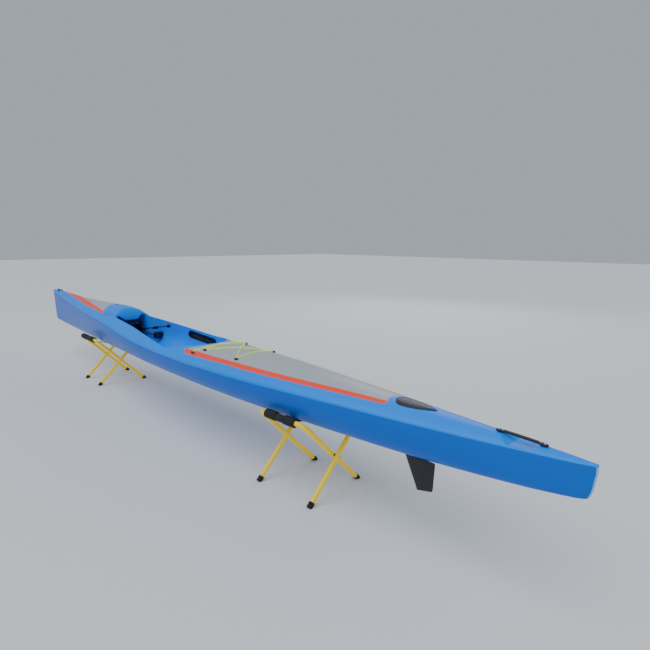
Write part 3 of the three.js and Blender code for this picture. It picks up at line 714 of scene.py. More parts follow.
def curve_of(made, x, points, high=0.25):
    """Height of a line through listed points, as a function of x."""
    low_x, high_x = points[0][0], points[-1][0]
    new = node(made, "FloatCurve")
    line = new.mapping.curves[0]
    scaled = [((px - low_x) / (high_x - low_x), py / high) for px, py in points]
    line.points[0].location, line.points[1].location = scaled[0], scaled[-1]
    for place in scaled[1:-1]:
        line.points.new(*place)
    for point in line.points:
        point.handle_type = "VECTOR"
    new.mapping.update()
    link(made, spread(made, x, 0, 1, low_x, high_x), new.inputs["Value"])
    return maths(made, "MULTIPLY", new.outputs[0], high)


def gelcoat(name, color):
    """Polished gelcoat: a thin clear gloss over a colour that varies a little, with faint waves in the
    mould."""
    made = shader(name, color, 0.32, Coat_Weight=0.02, Coat_Roughness=0.05, Specular_IOR_Level=0.12)
    tone = mixed(made, noise(made, 3.0), shade(color, 0.94), shade(color, 1.05))
    paint_in(made, tone, spread(made, noise(made, 14.0), 0.26, 0.38))
    bump(made, noise(made, 9.0, 1.0, (0.4, 1, 1)), 0.0008, 0.2)
    return made, tone


def hull_paint(paint):
    """Blue gelcoat with a painted highlight along the stern's stem edge, from the mesh's own mark."""
    made, tone = gelcoat("hull_gelcoat", paint.hull_blue)
    paint_in(made, mixed(made, attribute(made, "stem_highlight"), tone, HIGHLIGHT_BLUE))
    return made


def deck_paint(paint):
    """Blue gelcoat with grey panels and orange stripes. Their borders are lines of the half width over x,
    an arc ahead, and an ellipse and a circle aft."""
    made, tone = gelcoat("deck_gelcoat", paint.deck_blue)
    x, y, z = object_place(made)
    calc = partial(maths, made)
    wide = calc("ABSOLUTE", y)
    grey = mixed(made, noise(made, 30.0, 3.0, (0.15, 1, 1)), shade(paint.panel_grey, 0.93), paint.panel_grey)

    def both(*conditions):
        total = conditions[0]
        for condition in conditions[1:]:
            total = calc("MULTIPLY", total, condition)
        return total

    def between(outline_out, outline_in):
        out, inside = curve_of(made, x, outline_out), curve_of(made, x, outline_in)
        inner = calc("LESS_THAN", wide, inside)
        return both(calc("LESS_THAN", wide, out), calc("SUBTRACT", 1.0, inner)), inner

    def beyond(middle, half_x, half_y):
        share = calc("ABSOLUTE", calc("DIVIDE", calc("SUBTRACT", x, middle), half_x))
        a, b = calc("POWER", share, 2.0), calc("POWER", calc("DIVIDE", wide, half_y), 2.0)
        return calc("GREATER_THAN", calc("ADD", a, b), 1.0)

    stripe, inner = between(AFT_OUT, AFT_IN)
    aft = calc("LESS_THAN", x, AFT_OUT[-1][0])
    aft_stripe = both(stripe, aft, calc("GREATER_THAN", x, AFT_OUT[0][0]))
    end, radius = PANEL_END
    aft_panel = both(inner, aft, calc("GREATER_THAN", x, end), beyond(*PANEL_ARC),
                     beyond(end, radius, radius))
    stripe, inner = between(FORE_OUT, FORE_IN)
    arc = calc("SUBTRACT", CAP_ARC[0], calc("MULTIPLY", CAP_ARC[1], calc("POWER", wide, 2.0)))
    fore = both(calc("GREATER_THAN", x, arc), calc("GREATER_THAN", x, FORE_OUT[0][0]),
                calc("LESS_THAN", x, FORE_OUT[-1][0]), calc("GREATER_THAN", z, PANEL_FLOOR))
    for mask, color in ((aft_panel, grey), (both(inner, fore), grey), (aft_stripe, paint.stripe_orange),
                        (both(stripe, fore), paint.stripe_orange)):
        tone = mixed(made, mask, tone, color)
    paint_in(made, tone)
    return made


def black_plastic(paint):
    """Moulded black plastic: a fine grain and worn, duller patches."""
    made = shader("black_plastic", (0.006, 0.006, 0.008), 0.42, Specular_IOR_Level=0.1)
    tone = mixed(made, noise(made, 25.0, 3.0), (0.003, 0.003, 0.005), (0.009, 0.009, 0.012))
    paint_in(made, tone, spread(made, noise(made, 60.0, 3.0), 0.34, 0.55))
    bump(made, noise(made, 1400.0, 2.0), 0.0001, 0.5)
    return made


def steel(paint):
    """Brushed stainless steel."""
    made = shader("steel", (0.62, 0.63, 0.65), 0.25, Metallic=1.0)
    tone = mixed(made, noise(made, 90.0, 3.0), (0.5, 0.51, 0.53), (0.7, 0.71, 0.72))
    paint_in(made, tone, spread(made, noise(made, 400.0, 2.0, (0.1, 1, 1)), 0.18, 0.36))
    return made


def aluminium(paint):
    """Anodised rail: fine lines along it."""
    made = shader("rail_aluminium", (0.36, 0.37, 0.39), 0.4, Metallic=0.9)
    tone = mixed(made, noise(made, 300.0, 2.0, (0.02, 1, 1)), (0.3, 0.31, 0.33), (0.44, 0.45, 0.47))
    paint_in(made, tone, spread(made, noise(made, 500.0, 2.0, (0.02, 1, 1)), 0.3, 0.5))
    return made


def tube_paint(paint):
    """Lacquered tube: yellow under a thin gloss, in slightly uneven tone, with small scuffs. It glows a
    little in its own colour, which is painted light that makes it brighter than the lamps alone."""
    made = shader("trestle_lacquer", paint.tube_yellow, 0.3, Coat_Weight=0.1, Coat_Roughness=0.12,
                  Emission_Strength=0.15)
    tone = mixed(made, noise(made, 18.0, 3.0), shade(paint.tube_yellow, 0.9), shade(paint.tube_yellow, 1.06))
    scuff = spread(made, noise(made, 160.0, 6.0), 0, 1, 0.66, 0.72)
    tone = mixed(made, scuff, tone, shade(paint.tube_yellow, 0.55))
    paint_in(made, tone, spread(made, noise(made, 70.0, 2.0), 0.24, 0.4))
    return made


def foam(paint):
    """Closed-cell foam: dull black with open pores."""
    made = shader("black_foam", (0.006, 0.006, 0.008), 0.9, Specular_IOR_Level=0.2)
    cells = node(made, "TexVoronoi", Scale=900.0)
    link(made, coordinates(made), cells.inputs["Vector"])
    tone = mixed(made, noise(made, 40.0, 4.0), (0.003, 0.003, 0.004), (0.010, 0.010, 0.012))
    paint_in(made, tone)
    bump(made, cells.outputs["Distance"], 0.0004, 0.5)
    return made


def rubber(paint):
    """Rubber foot: nearly black, dusty near the floor."""
    made = shader("black_rubber", (0.009, 0.009, 0.009), 0.5)
    _, _, z = object_place(made)
    dust = maths(made, "MULTIPLY", spread(made, z, 0.6, 0.0, 0.0, 0.02), noise(made, 120.0, 4.0))
    paint_in(made, mixed(made, dust, (0.008, 0.008, 0.009), (0.12, 0.11, 0.1)))
    bump(made, noise(made, 700.0, 2.0), 0.0001, 0.5)
    return made


def webbing(paint):
    """Woven black webbing: ribs along and across from the product of two waves of the mesh's own lengths,
    painted lighter on the raised ribs and darker between them as painted light and shade."""
    made = shader("black_webbing", (0.012, 0.012, 0.013), 0.8, Specular_IOR_Level=0.3)
    ribs = woven(made, 0.0022, 0.0016)
    paint_in(made, mixed(made, spread(made, ribs, 0, 1, -1, 1), (0.006, 0.006, 0.007), (0.026, 0.026, 0.028)))
    bump(made, ribs, 0.0005, 0.6)
    return made


def woven(made, pitch_along, pitch_across):
    """Sine of the length along, times the sine of the length across, with the given pitches in metres."""
    u = maths(made, "SINE", maths(made, "MULTIPLY", attribute(made, "along"), 2 * math.pi / pitch_along))
    v = maths(made, "SINE", maths(made, "MULTIPLY", attribute(made, "across"), 2 * math.pi / pitch_across))
    return maths(made, "MULTIPLY", u, v)


def strap_webbing(paint):
    """The same webbing with a blank pale patch sewn on its starboard half."""
    made = webbing(paint)
    made.name = "strap_webbing"
    x, y, _ = object_place(made)
    on_x, on_y = maths(made, "COMPARE", x, *PATCH_X), maths(made, "COMPARE", y, *PATCH_Y)
    patch = maths(made, "MULTIPLY", on_x, on_y)
    tone = surface_of(made).inputs["Base Color"].links[0].from_socket
    paint_in(made, mixed(made, patch, tone, (0.62, 0.62, 0.6)))
    return made


def elastic(paint):
    """Braided cover of the bungee: the product of two waves along and across it, with painted shade where the
    braid is low. It glows a little in its own colour, which is painted light.
    """
    made = shader("bungee_braid", paint.bungee_green, 0.7, Specular_IOR_Level=0.2, Emission_Strength=0.35)
    threads = woven(made, 0.004, 0.0026)
    tone = mixed(made, spread(made, threads, 0, 1, -1, 1), shade(paint.bungee_green, 0.7), paint.bungee_green)
    paint_in(made, tone)
    bump(made, threads, 0.0004, 0.5)
    return made


# The function that makes each material, and the slot of the pieces that have it
LOOKS = {
    "black_plastic": (black_plastic, "black_plastic"),
    "steel": (steel, "grey_metal"),
    "rail_aluminium": (aluminium, "grey_metal"),
    "trestle_lacquer": (tube_paint, "trestle_paint"),
    "black_foam": (foam, "black_foam"),
    "black_rubber": (rubber, "black_rubber"),
    "black_webbing": (webbing, "black_webbing"),
    "strap_webbing": (strap_webbing, "black_webbing"),
    "bungee_braid": (elastic, "bungee_cord"),
    "deck_gelcoat": (deck_paint, "deck_paint"),
    "hull_gelcoat": (hull_paint, "hull_paint"),
}


def material(name):
    """A material by name, made when it is first asked for."""
    return bpy.data.materials.get(name) or LOOKS[name][0](bpy.context.scene.surfski_paints)


# The boat's two shells


def around(angle, power):
    """How far out and how far down a superellipse reaches at an angle from straight down, as shares: the sine
    and the cosine, divided by the power's own sum of both."""
    sine, cosine = np.sin(angle), np.abs(np.cos(angle))
    reach = (np.abs(sine) ** power + cosine**power) ** (1 / power)
    return sine / reach, cosine / reach


def hull_grid():
    """Hull: at x, an angle runs from the starboard knuckle through the keel to port. y is the beam times
    its sine, z is the knuckle less the depth times its cosine, both scaled to a superellipse."""
    x = places([
        (STERN, STERN + 0.006, 0.0008), (STERN + 0.006, STERN + 0.03, 0.002), (STERN + 0.03, -2.4, 0.012),
        (-2.4, 2.4, 0.02), (2.4, 2.64, 0.012), (2.64, BOW - 0.006, 0.0015), (BOW - 0.006, BOW, 0.0008),
    ])
    angle = np.linspace(-RIGHT_ANGLE, RIGHT_ANGLE, 81)
    across, down = around(angle, BILGE)
    knuckle = station("knuckle", x)[:, None]
    depth = knuckle - station("keel", x)[:, None]
    half = (station("beam", x) * end_round(x))[:, None]
    return at(x[:, None], half * across, knuckle - depth * down)


def rim_half(x):
    """Half width of the cockpit's rim: the table, and aft of it an ellipse."""
    arc = quarter((x - ARC_X) / ARC_REACH) * COCKPIT["half"][0]
    return np.where(x < ARC_X, arc, along(COCKPIT, "half", x))


def on_deck(x, y):
    """Points of the deck's top at x and y, with y closing in at both ends of the boat."""
    return at(x, y, deck_top(x, y / np.maximum(end_round(x), 1e-3)))


def side_columns(x, rim):
    """From the knuckle up the side and over to the deck: a straight part, then a quadratic curve whose
    middle point lies over the deck's edge on the deck's own slope. The curve takes the whole side where the
    edge is soft, and a small share of it where the edge is crisp. rim: half width where the deck ends."""
    fade = end_round(x)
    columns = ("beam", "knuckle", "edge", "edge_z", "crown")
    beam, knuckle, edge, edge_z, crown = (station(column, x) for column in columns)
    soft = 1 - ease((x - SOFT_END) / SOFT_FADE)
    crisp = np.minimum(CRISP_ROLL, 0.3 * (edge - rim))
    roll = partway(crisp, np.minimum(0.55 * edge, 0.6 * (edge - rim)), soft)
    inward = edge - roll
    control = at(x, edge * fade, partway(edge_z, crown, (1 - inward / edge) ** 2))
    low = at(x, beam * fade, knuckle)
    start = partway(control, low, partway(CRISP_SIDE, 1, soft)[:, None])
    end = at(x, inward * fade, deck_z(x, inward))
    return joined(straight(low, start, 4), corner(start, control, end, 7)), end


def deck_rows():
    """x of the deck's edge, and x of the inner end, for each row: first the aft deck, whose rows end on the
    middle line, then the rows that end on the cockpit's rim, then the foredeck's, which end on the line
    that carries the rim on to the bow."""
    aft = places([
        (STERN, STERN + 0.006, 0.0008), (STERN + 0.006, STERN + 0.03, 0.003), (STERN + 0.03, -2.57, 0.012),
        (-2.57, -2.36, 0.005), (-2.36, ARC_X - ARC_REACH - 0.02, 0.018),
    ])
    turn = np.linspace(0, RIGHT_ANGLE, 36)
    arc = ARC_X - ARC_REACH * np.cos(turn)
    arc_edge = ARC_X - ARC_REACH * (1 - turn / RIGHT_ANGLE) ** 1.3
    side = places([(ARC_X, 0.085, 0.007), (0.085, HUMP_X, 0.011)])[1:]
    fore = places([
        (HUMP_X, 0.88, 0.0115), (0.88, 1.0, 0.004), (1.0, 1.2, 0.015), (1.2, 2.38, 0.022),
        (2.38, 2.58, 0.005), (2.58, BOW - 0.03, 0.008), (BOW - 0.03, BOW - 0.006, 0.003),
        (BOW - 0.006, BOW, 0.0008),
    ])[1:]
    return aft, (arc, arc_edge), side, fore


def deck_grids():
    """Port half of the deck, as grids: rows run from the knuckle up over the deck's edge to the middle
    line, the rim or the hump, and on the rim the cockpit hangs."""
    aft, (arc, arc_edge), side, fore = deck_rows()
    x_edge = np.concatenate([aft, arc_edge, side, fore])
    x_in = np.concatenate([aft, arc, side, fore])
    is_open = slice(len(aft), len(x_in) - len(fore))
    is_fore = slice(len(x_in) - len(fore) - 1, len(x_in))
    y_in = np.concatenate([0 * aft, rim_half(arc), rim_half(side), cap_half(fore)])
    sides, shoulder = side_columns(x_edge, y_in)
    y_in = y_in * end_round(x_in)
    rim = on_deck(x_in, y_in)
    lip = np.zeros(len(x_in))
    gap = np.linalg.norm((rim - shoulder)[:, :2], axis=-1)
    lip[is_open] = (np.minimum(LIP, 0.45 * gap) * ease((HUMP_X - x_in) / LIP_FADE))[is_open]
    last = rim - unit((rim - shoulder) * [1, 1, 0]) * lip[:, None]
    tops = straight(shoulder, last, 9)
    tops = on_deck(tops[..., 0], tops[..., 1])
    outer = scooped(joined(sides, tops))

    rims, lips = rim[is_open], lip[is_open][:, None]
    below = rims - Z_AXIS * lips
    top = np.minimum(np.minimum(station("edge_z", x_in[is_open]), RIM_TOP), below[:, 2] - 1 * MM)
    top[-1] = BORDER["z"][-1]
    wall = straight(below, at(rims[:, 0], rims[:, 1], top), WALL_STEPS)
    roll = corner(outer[is_open, -1], rims, below, LIP_STEPS)
    inner = joined(roll, wall, bowl_rows(rims[:, 0], rims[:, 1], top))
    return [outer, pocketed(inner), *hump_grids(x_in[is_fore], inner[-1])]


def bowl_out(power):
    """How far out and how far down each column of the cockpit lies, as shares, from the rim to the middle
    line."""
    return around(np.linspace(RIGHT_ANGLE, 0, BOWL_STEPS + 1), power)


def bowl_rows(x, y, top):
    """Cockpit below its rim: from the rim at (x, y) to the spine, which stops where the aft rim's ellipse
    has its centre, so that the rows fan out round the seat's back."""
    spine = np.maximum(x, ARC_X)[:, None]
    back = np.clip((ARC_X - x) / ARC_REACH, 0, 1)[:, None]
    out, down = bowl_out(partway(SQUARE, BACK_SQUARE, ease(back * BACK_TURN)))
    z = partway(top[:, None], along(COCKPIT, "floor", spine), down)
    px = partway(spine, x[:, None], out)
    free = np.maximum(hull_half(px, z) - SKIN, 1 * MM)
    return at(px, np.minimum(y[:, None] * out, free), z)


def hump_grids(x, first_row):
    """The hump's top and its aft face, and the well below it. The face is a cubic curve in each column: it
    leaves the deck level over the lip and drops to the lower border. All have the cockpit's columns.
    first_row: the cockpit's last row, from which the face takes its outer edge."""
    out, _ = bowl_out(SQUARE)
    share = out[None, :]
    lift = HUMP_LIP * (1 - share**2)
    near = ease(1 - (x[:, None] - HUMP_X) / HUMP_FADE)
    top_x = x[:, None] + (lift + HUMP_ROLL * (1 - share**12)) * near
    top = scooped(on_deck(top_x, (cap_half(x) * end_round(x))[:, None] * share))

    y = rim_half(HUMP_X) * out
    low_x, low_z = (along(BORDER, k, y, by="y") for k in ("x", "z"))
    lip_x = HUMP_X + lift[0]
    lip = at(lip_x, y, deck_top(lip_x, y))
    border = at(low_x, y, low_z)
    under = partway(border, lip, FACE_BEND)
    t = np.linspace(0, 1, WALL_STEPS + LIP_STEPS + 1)[:, None, None]
    face = (1 - t) ** 3 * top[0] + 3 * (1 - t) ** 2 * t * lip + 3 * (1 - t) * t**2 * under + t**3 * border
    face[:, 0] = first_row[:len(t)]

    row_x = places([(HUMP_X, WELL_END, 0.012)])
    s = ((row_x - HUMP_X) / (WELL_END - HUMP_X))[:, None]
    ceiling_z = partway(low_z, low_z[0], ease(2 * s))
    ceiling = at(partway(low_x, WELL_END, s), out * rim_half(row_x)[:, None], ceiling_z)
    well = bowl_rows(row_x, rim_half(row_x), np.full(len(row_x), BORDER["z"][-1]))
    bulkhead = straight(ceiling[-1], well[-1], 6).transpose(1, 0, 2)
    return [top, face, ceiling, well, bulkhead]


def grip_axes(side):
    """Middle of a carrying grip, and its directions along, up and out of the boat."""
    ct, st, cr, sr = math.cos(GRIP_TILT), math.sin(GRIP_TILT), math.cos(GRIP_TURN), math.sin(GRIP_TURN)
    axes = np.array([[ct * cr, -side * sr * ct, st], [-st * cr, side * st * sr, ct], [sr, side * cr, 0]])
    return GRIP_PLACE * [1, side, 1], axes


def pocketed(points):
    """Points of the port wall: those near the middle of the grip's bezel are drawn on to it, and those
    inside it are moved out behind the grip."""
    place, axes = grip_axes(1)
    u, v, w = np.moveaxis((points - place) @ axes.T, -1, 0)
    core = np.clip(u, (GRIP_HIGH - GRIP_LONG) / 2, (GRIP_LONG - GRIP_HIGH) / 2)
    reach = np.hypot(u - core, v)
    here = np.abs(w) < POCKET_REACH
    near = here & (np.abs(reach - BEZEL_RADIUS) < BEZEL_BAND)
    inside = here & (reach <= POCKET_RADIUS)
    scale = np.where(near, BEZEL_RADIUS / np.maximum(reach, 1e-6), 1)
    moved = place + at(core + (u - core) * scale, v * scale, w + POCKET_PUSH * inside) @ axes
    return np.where((near | inside)[..., None], moved, points)


def weld_halves(grids):
    """Port grids and their starboard mirrors, whose columns run the other way to keep the same outside."""
    return grids + [grid[:, ::-1] * [1, -1, 1] for grid in grids]


# Smaller pieces


def wall_half(x, z):
    """Half width of the cockpit's wall at height z."""
    top = np.minimum(station("edge_z", x), RIM_TOP)
    return rim_half(x) * squircle((top - z) / (top - along(COCKPIT, "floor", x)), SQUARE)


def deck_frame(x, y):
    """Point of the deck and its directions forward, to port and up, from the slope of the deck there."""
    step = 2 * MM
    place = np.array([x, y, float(deck_top(x, y))])
    ahead = unit(np.array([2 * step, 0, float(deck_top(x + step, y) - deck_top(x - step, y))]))
    out = unit(np.array([0, 2 * step, float(deck_top(x, y + step) - deck_top(x, y - step))]))
    up = unit(np.cross(ahead, out))
    return place, ahead, unit(np.cross(up, ahead)), up


def grip_sheet(side):
    """Carrying grip: rings of two half circles joined by straight sides, from the outer foot of the bezel
    over its round face and into the pocket."""
    place, axes = grip_axes(side)
    radius, depth = GRIP_PROFILE[:, :1], GRIP_PROFILE[:, 1:]
    ring = circle(1.0, 96)
    straight_half = (GRIP_LONG - GRIP_HIGH) / 2
    u = radius * ring[:, 0] + straight_half * np.sign(np.round(ring[:, 0], 9))
    return place + at(u, radius * ring[:, 1], depth) @ axes


def pointed(grid):
    """A closed grid with each end row drawn in to its middle."""
    grid[0], grid[-1] = grid[0].mean(axis=0), grid[-1].mean(axis=0)
    return grid


def handle_bar(handle):
    """Handle: at x the section is a superellipse between an underside, which lies on the deck at both ends
    and arches over the scoop, and a top that follows the crown less than 12 mm above it. It widens
    towards its ends."""
    half = handle["length"] / 2
    s = np.concatenate([[-1], np.sin(np.linspace(-RIGHT_ANGLE, RIGHT_ANGLE, 61)), [1]])
    x = handle["x"] + s * half
    foot = ease((np.abs(s) - FOOT_START) / FOOT_RUN)
    shape = quarter(np.abs(s) ** 7)
    crown = station("crown", x)
    low = crown + partway(*HANDLE_UNDER, foot)
    high = crown + partway(*HANDLE_TOP, 1 - s**2)
    wide = partway(*HANDLE_HALF, foot) * shape
    middle, thick = (low + high) / 2, (high - low) / 2 * partway(HANDLE_TIP, 1, shape)
    ring = circle(1.0, 28)
    ring = np.sign(ring) * np.abs(ring) ** (2 / HANDLE_SQUARE)
    return pointed(at(x[:, None], wide[:, None] * ring[:, 0], middle[:, None] + thick[:, None] * ring[:, 1]))


def blade_grid():
    """Rudder blade: at height z the chord runs from the leading to the trailing line, and at a share c of
    it the half thickness is that of a foil, in proportion to the root of c times 1 less c."""
    lines = table("z lead trail", [
        [200, -2067, -2068], [201.5, -2064, -2073], [205, -2062, -2089], [210, -2059.6, -2109],
        [215, -2057, -2128], [218, -2056, -2133], [222, -2054, -2136], [240, -2045, -2137],
        [300, -2016, -2140.5], [325, -2004, -2142], [333, -2000, -2142], [336.5, -1999, -2141],
        [338, -1998.5, -2139],
    ])
    z = np.concatenate([np.linspace(200, 224, 25), np.linspace(230, 324, 20), np.linspace(326, 338, 9)]) * MM
    z = np.concatenate([z[:1], z, z[-1:]])
    fore, aft = (along(lines, column, z, by="z") for column in ("lead", "trail"))
    turn = np.linspace(0, math.pi, 33)
    c = (1 - np.cos(turn)) / 2
    foil = 2.6 * np.sqrt(c) * (1 - c)  # at most 1
    half = 4.5 * MM * foil + 0.35 * MM * np.sin(turn)
    chord = fore - aft
    top = 338.5 * MM
    thin = np.sqrt(np.clip(chord / (30 * MM), 0, 1)) * np.sqrt(np.clip((top - z) / (3 * MM), 0, 1))
    x = fore[:, None] - chord[:, None] * c
    y = half[None] * thin[:, None]
    return pointed(np.concatenate([at(x, y, z[:, None]), at(x, -y, z[:, None])[:, -2:0:-1]], axis=1))


def hatch_grid():
    """Drop-shaped cover: rings of its outline, round ahead and pointed aft, drawn in towards the middle.
    The height over the deck depends on the distance in from the outline: a rim, a groove and a low dome."""
    radius, fore, aft = 46 * MM, -1.955, -2.141
    nose = [fore - radius, 0] + radius * polar(np.linspace(-RIGHT_ANGLE, RIGHT_ANGLE, 41))
    t = np.linspace(0, 1, 41)[1:, None]
    widest, bend, tip = np.array([[fore - radius, radius], [aft + 70 * MM, radius], [aft, 0]])
    tail = quadratic(widest, bend, tip, t)
    outline = np.concatenate([nose, tail, (tail * [1, -1])[-2:0:-1]])
    middle = np.array([-2.022, 0])
    level = table("inset high", [
        [0, -2.5], [0, 1.6], [0.4, 2.6], [1.2, 3.2], [2.2, 3.4], [3.6, 3.3], [4.4, 2.6], [5, 2.3], [5.8, 2.4],
        [6.6, 3], [8, 3.5], [11, 3.9], [15, 4.2], [20, 4.4], [26, 4.6], [33, 4.7], [40, 4.8], [46, 4.9],
        [60, 5], [80, 5], [119, 5],
    ])
    reach = np.linalg.norm(outline - middle, axis=-1)
    left = np.clip(1 - level["inset"][:, None] / reach, 0, 1)
    x, y = np.moveaxis(middle + (outline - middle) * left[..., None], -1, 0)
    top = at(x, y, deck_z(x, y) + level["high"][:, None])
    foot = top[:1] * [1, 1, 0] + HATCH_FOOT * Z_AXIS
    return np.concatenate([foot.mean(axis=1, keepdims=True) + 0 * foot, top])


def rounded_path(points, cut, steps=6):
    """A path through points whose inner corners are quadratic curves that start the given length before
    them."""
    path = [points[:1]]
    t = np.linspace(0, 1, steps + 1)[:, None]
    for before, here, after in zip(points[:-2], points[1:-1], points[2:]):
        a, b = here + unit(before - here) * cut, here + unit(after - here) * cut
        path.append(quadratic(a, here, b, t))
    return np.concatenate([*path, points[-1:]])


def finely(path, step):
    """Points about a step apart along a path, its own points kept."""
    parts = [np.linspace(a, b, max(1, round(np.linalg.norm(b - a) / step)), endpoint=False)
             for a, b in zip(path[:-1], path[1:])]
    return np.concatenate([*parts, path[-1:]])


def lengths(path):
    return np.concatenate([[0], np.cumsum(np.linalg.norm(np.diff(path, axis=0), axis=1))])


def bungee_path(radius):
    """The bungee's middle line: on the deck, and one cord's width higher where its second half crosses the
    first."""
    clear, ramp = 1.2 * MM, 34 * MM  # over the deck, and the run over which it climbs to a crossing
    plan = finely(rounded_path(BUNGEE_ROUTE, 7 * MM), 3 * MM)
    done = lengths(plan) / lengths(plan)[-1]
    over = np.zeros(len(plan))
    for first, second in CROSSINGS:
        (a, b), (c, d) = BUNGEE_ROUTE[first:first + 2], BUNGEE_ROUTE[second:second + 2]
        share = np.linalg.solve(np.stack([b - a, c - d], axis=1), c - a)[0]
        away = np.linalg.norm(plan - partway(a, b, share), axis=1)
        over += 2.1 * radius * ease(1 - away / ramp) * (done > 0.5)
    return at(plan[:, 0], plan[:, 1], deck_z(plan[:, 0], plan[:, 1]) + radius + clear + over)


def with_lengths(path, outline, up):
    """A swept grid and two lengths at each of its points: along the path, and across it in the outline."""
    grid = swept(path, outline, up)
    done = lengths(path)
    done = np.concatenate([done[:1], done, done[-1:]])
    across = lengths(outline)
    return grid, {"along": np.repeat(done, len(outline)), "across": np.tile(across, len(grid))}


def at_trestle(points, trestle):
    """Points made round a trestle's own middle, turned and moved to their place."""
    x, turn, _ = trestle
    c, s = math.cos(turn), math.sin(turn)
    return points @ np.array([[c, s, 0], [-s, c, 0], [0, 0, 1]]) + [x, 0, 0]


def leg_ends(size, half, side, way):
    """Lower end of a trestle's leg, and the corner where its line meets that of the top bar."""
    foot = np.array([way * half, -side * size.foot_y, size.foot_z])
    return foot, np.array([way * half, side * size.bar_y, size.bar_z])


def frame_path(size, half, side):
    """Foot, leg, bend, top bar, bend, leg, foot of one trestle frame. The bends are quadratic curves."""

    def end(way):
        foot, top = leg_ends(size, half, side, way)
        leg = top + unit(foot - top) * size.bend
        bend = quadratic(leg, top, top - way * size.bend * X_AXIS, np.linspace(0, 1, 17)[:, None])
        return np.concatenate([np.linspace(foot, leg, 12, endpoint=False), bend])

    return np.concatenate([end(-1), end(1)[::-1]])


def foam_grid(size, half, side):
    """Foam sleeve: its radius falls to a waist under the sling and rounds off at both ends."""
    bend_gap, sling_gap, rise, edge, bore_gap = (n * MM for n in (2, 3, 5, 4, 0.3))
    reach = half - size.bend - bend_gap
    h = np.sin(np.linspace(-RIGHT_ANGLE, RIGHT_ANGLE, 121)) * reach
    away = np.abs(h)
    radius = partway(size.waist, size.foam, ease((away - size.sling / 2 - sling_gap) / rise))
    end = quarter(np.clip((away - reach + edge) / edge, 0, 1))
    radius = partway(size.tube, radius, partway(0.25, 1, end))
    profile = np.stack([radius, h], axis=-1)
    inner = [[size.tube + bore_gap, reach], [size.tube + bore_gap, -reach]]
    profile = np.concatenate([profile, inner, profile[:1]])
    return turned(profile, np.array([0, side * size.bar_y, size.bar_z]), X_AXIS, 40)


def sling_path(size, trestle):
    """Middle line of the sling: once round one top bar, along the hull's bottom, once round the other bar.
    The first and last turns start outside their ring, so that the webbing's end lies on itself."""
    x = trestle[0]
    foam_gap, hull_gap, lap_gap = 0.3 * MM, 0.6 * MM, 0.2 * MM
    radius = size.waist + foam_gap + size.sling_thick / 2
    reach = station("beam", x) * SLING_TOUCH
    y = np.linspace(reach, -reach, 25)
    lowest = np.minimum(bottom_z(x - size.sling / 2, y), bottom_z(x + size.sling / 2, y)) - hull_gap
    turn = np.linspace(*np.radians(SLING_WRAP), 61)
    wrap = radius + (size.sling_thick + lap_gap) * ease(1 - (turn[0] - turn))
    ring = [size.bar_y, size.bar_z] + wrap[:, None] * polar(turn)
    middle = np.stack([y, lowest - size.sling_thick / 2], axis=-1)
    free = finely(np.stack([ring[-1], middle[0]]), 8 * MM)
    half = np.concatenate([ring[:-1], free[:-1]])
    flat = np.concatenate([half, middle, half[::-1] * [-1, 1]])
    return at(0, flat[:, 0], flat[:, 1])


def foot_cap(size, half, side, way):
    """Rubber cap: a ribbed sleeve over the leg's end, its lower part pressed flat on the floor."""
    foot, top = leg_ends(size, half, side, way)
    cap, tube = size.cap / MM, size.tube / MM
    groove = cap - 0.7
    profile = [
        (0, -22), (0.8 * cap, -22), (cap, -20), (cap, -4), (groove, -3.2), (groove, -2), (cap, -1.2),
        (cap, 0.6), (groove, 1.4), (groove, 2.6), (cap, 3.4), (cap, 6.4), (cap - 0.6, 7.6), (tube + 0.6, 8),
        (tube + 0.1, 7), (tube + 0.1, 0), (0, -0.2),
    ]
    grid = turned(np.array(profile) * MM, foot, unit(top - foot), 32)
    grid[..., 2] = np.maximum(grid[..., 2], 0)
    return grid


Color = partial(FloatVectorProperty, subtype="COLOR", min=0, max=1)
Length = partial(FloatProperty, unit="LENGTH")
Angle = partial(FloatProperty, subtype="ANGLE")


class Paints(bpy.types.PropertyGroup):
    """Colours of the finishes."""

    hull_blue: Color(name="Hull blue", description="Gelcoat below the knuckle", default=(0.0, 0.13, 0.62))
    deck_blue: Color(name="Deck blue", description="Gelcoat of the deck and cockpit",
                     default=(0.0, 0.27, 1.0))
    panel_grey: Color(name="Panel grey", description="Panels of the fore and aft deck",
                      default=(0.45, 0.48, 0.5))
    stripe_orange: Color(name="Stripe orange", description="Stripes along the panels",
                         default=(1.0, 0.095, 0.05))
    tube_yellow: Color(name="Tube yellow", description="Lacquer of the trestles", default=(1.0, 0.67, 0.0))
    bungee_green: Color(name="Bungee green", description="Cover of the bungee", default=(0.8, 1.0, 0.14))


class View(bpy.types.PropertyGroup):
    """Camera and floor."""

    eye: FloatVectorProperty(name="Eye", description="Place of the camera", subtype="TRANSLATION",
                             unit="LENGTH", default=(-3.1095, 1.5172, 1.1761))
    heading: Angle(name="Heading", description="Direction of view from +X", default=math.radians(-43.8125))
    pitch: Angle(name="Pitch", description="Downward tilt of the view", default=math.radians(9.7765))
    roll: Angle(name="Roll", description="Roll of the camera", default=math.radians(0.3125))
    lens: FloatProperty(name="Lens", description="Focal length", unit="CAMERA", default=26.97)
    floor: Length(name="Floor", description="Half size of the floor", default=30.0)


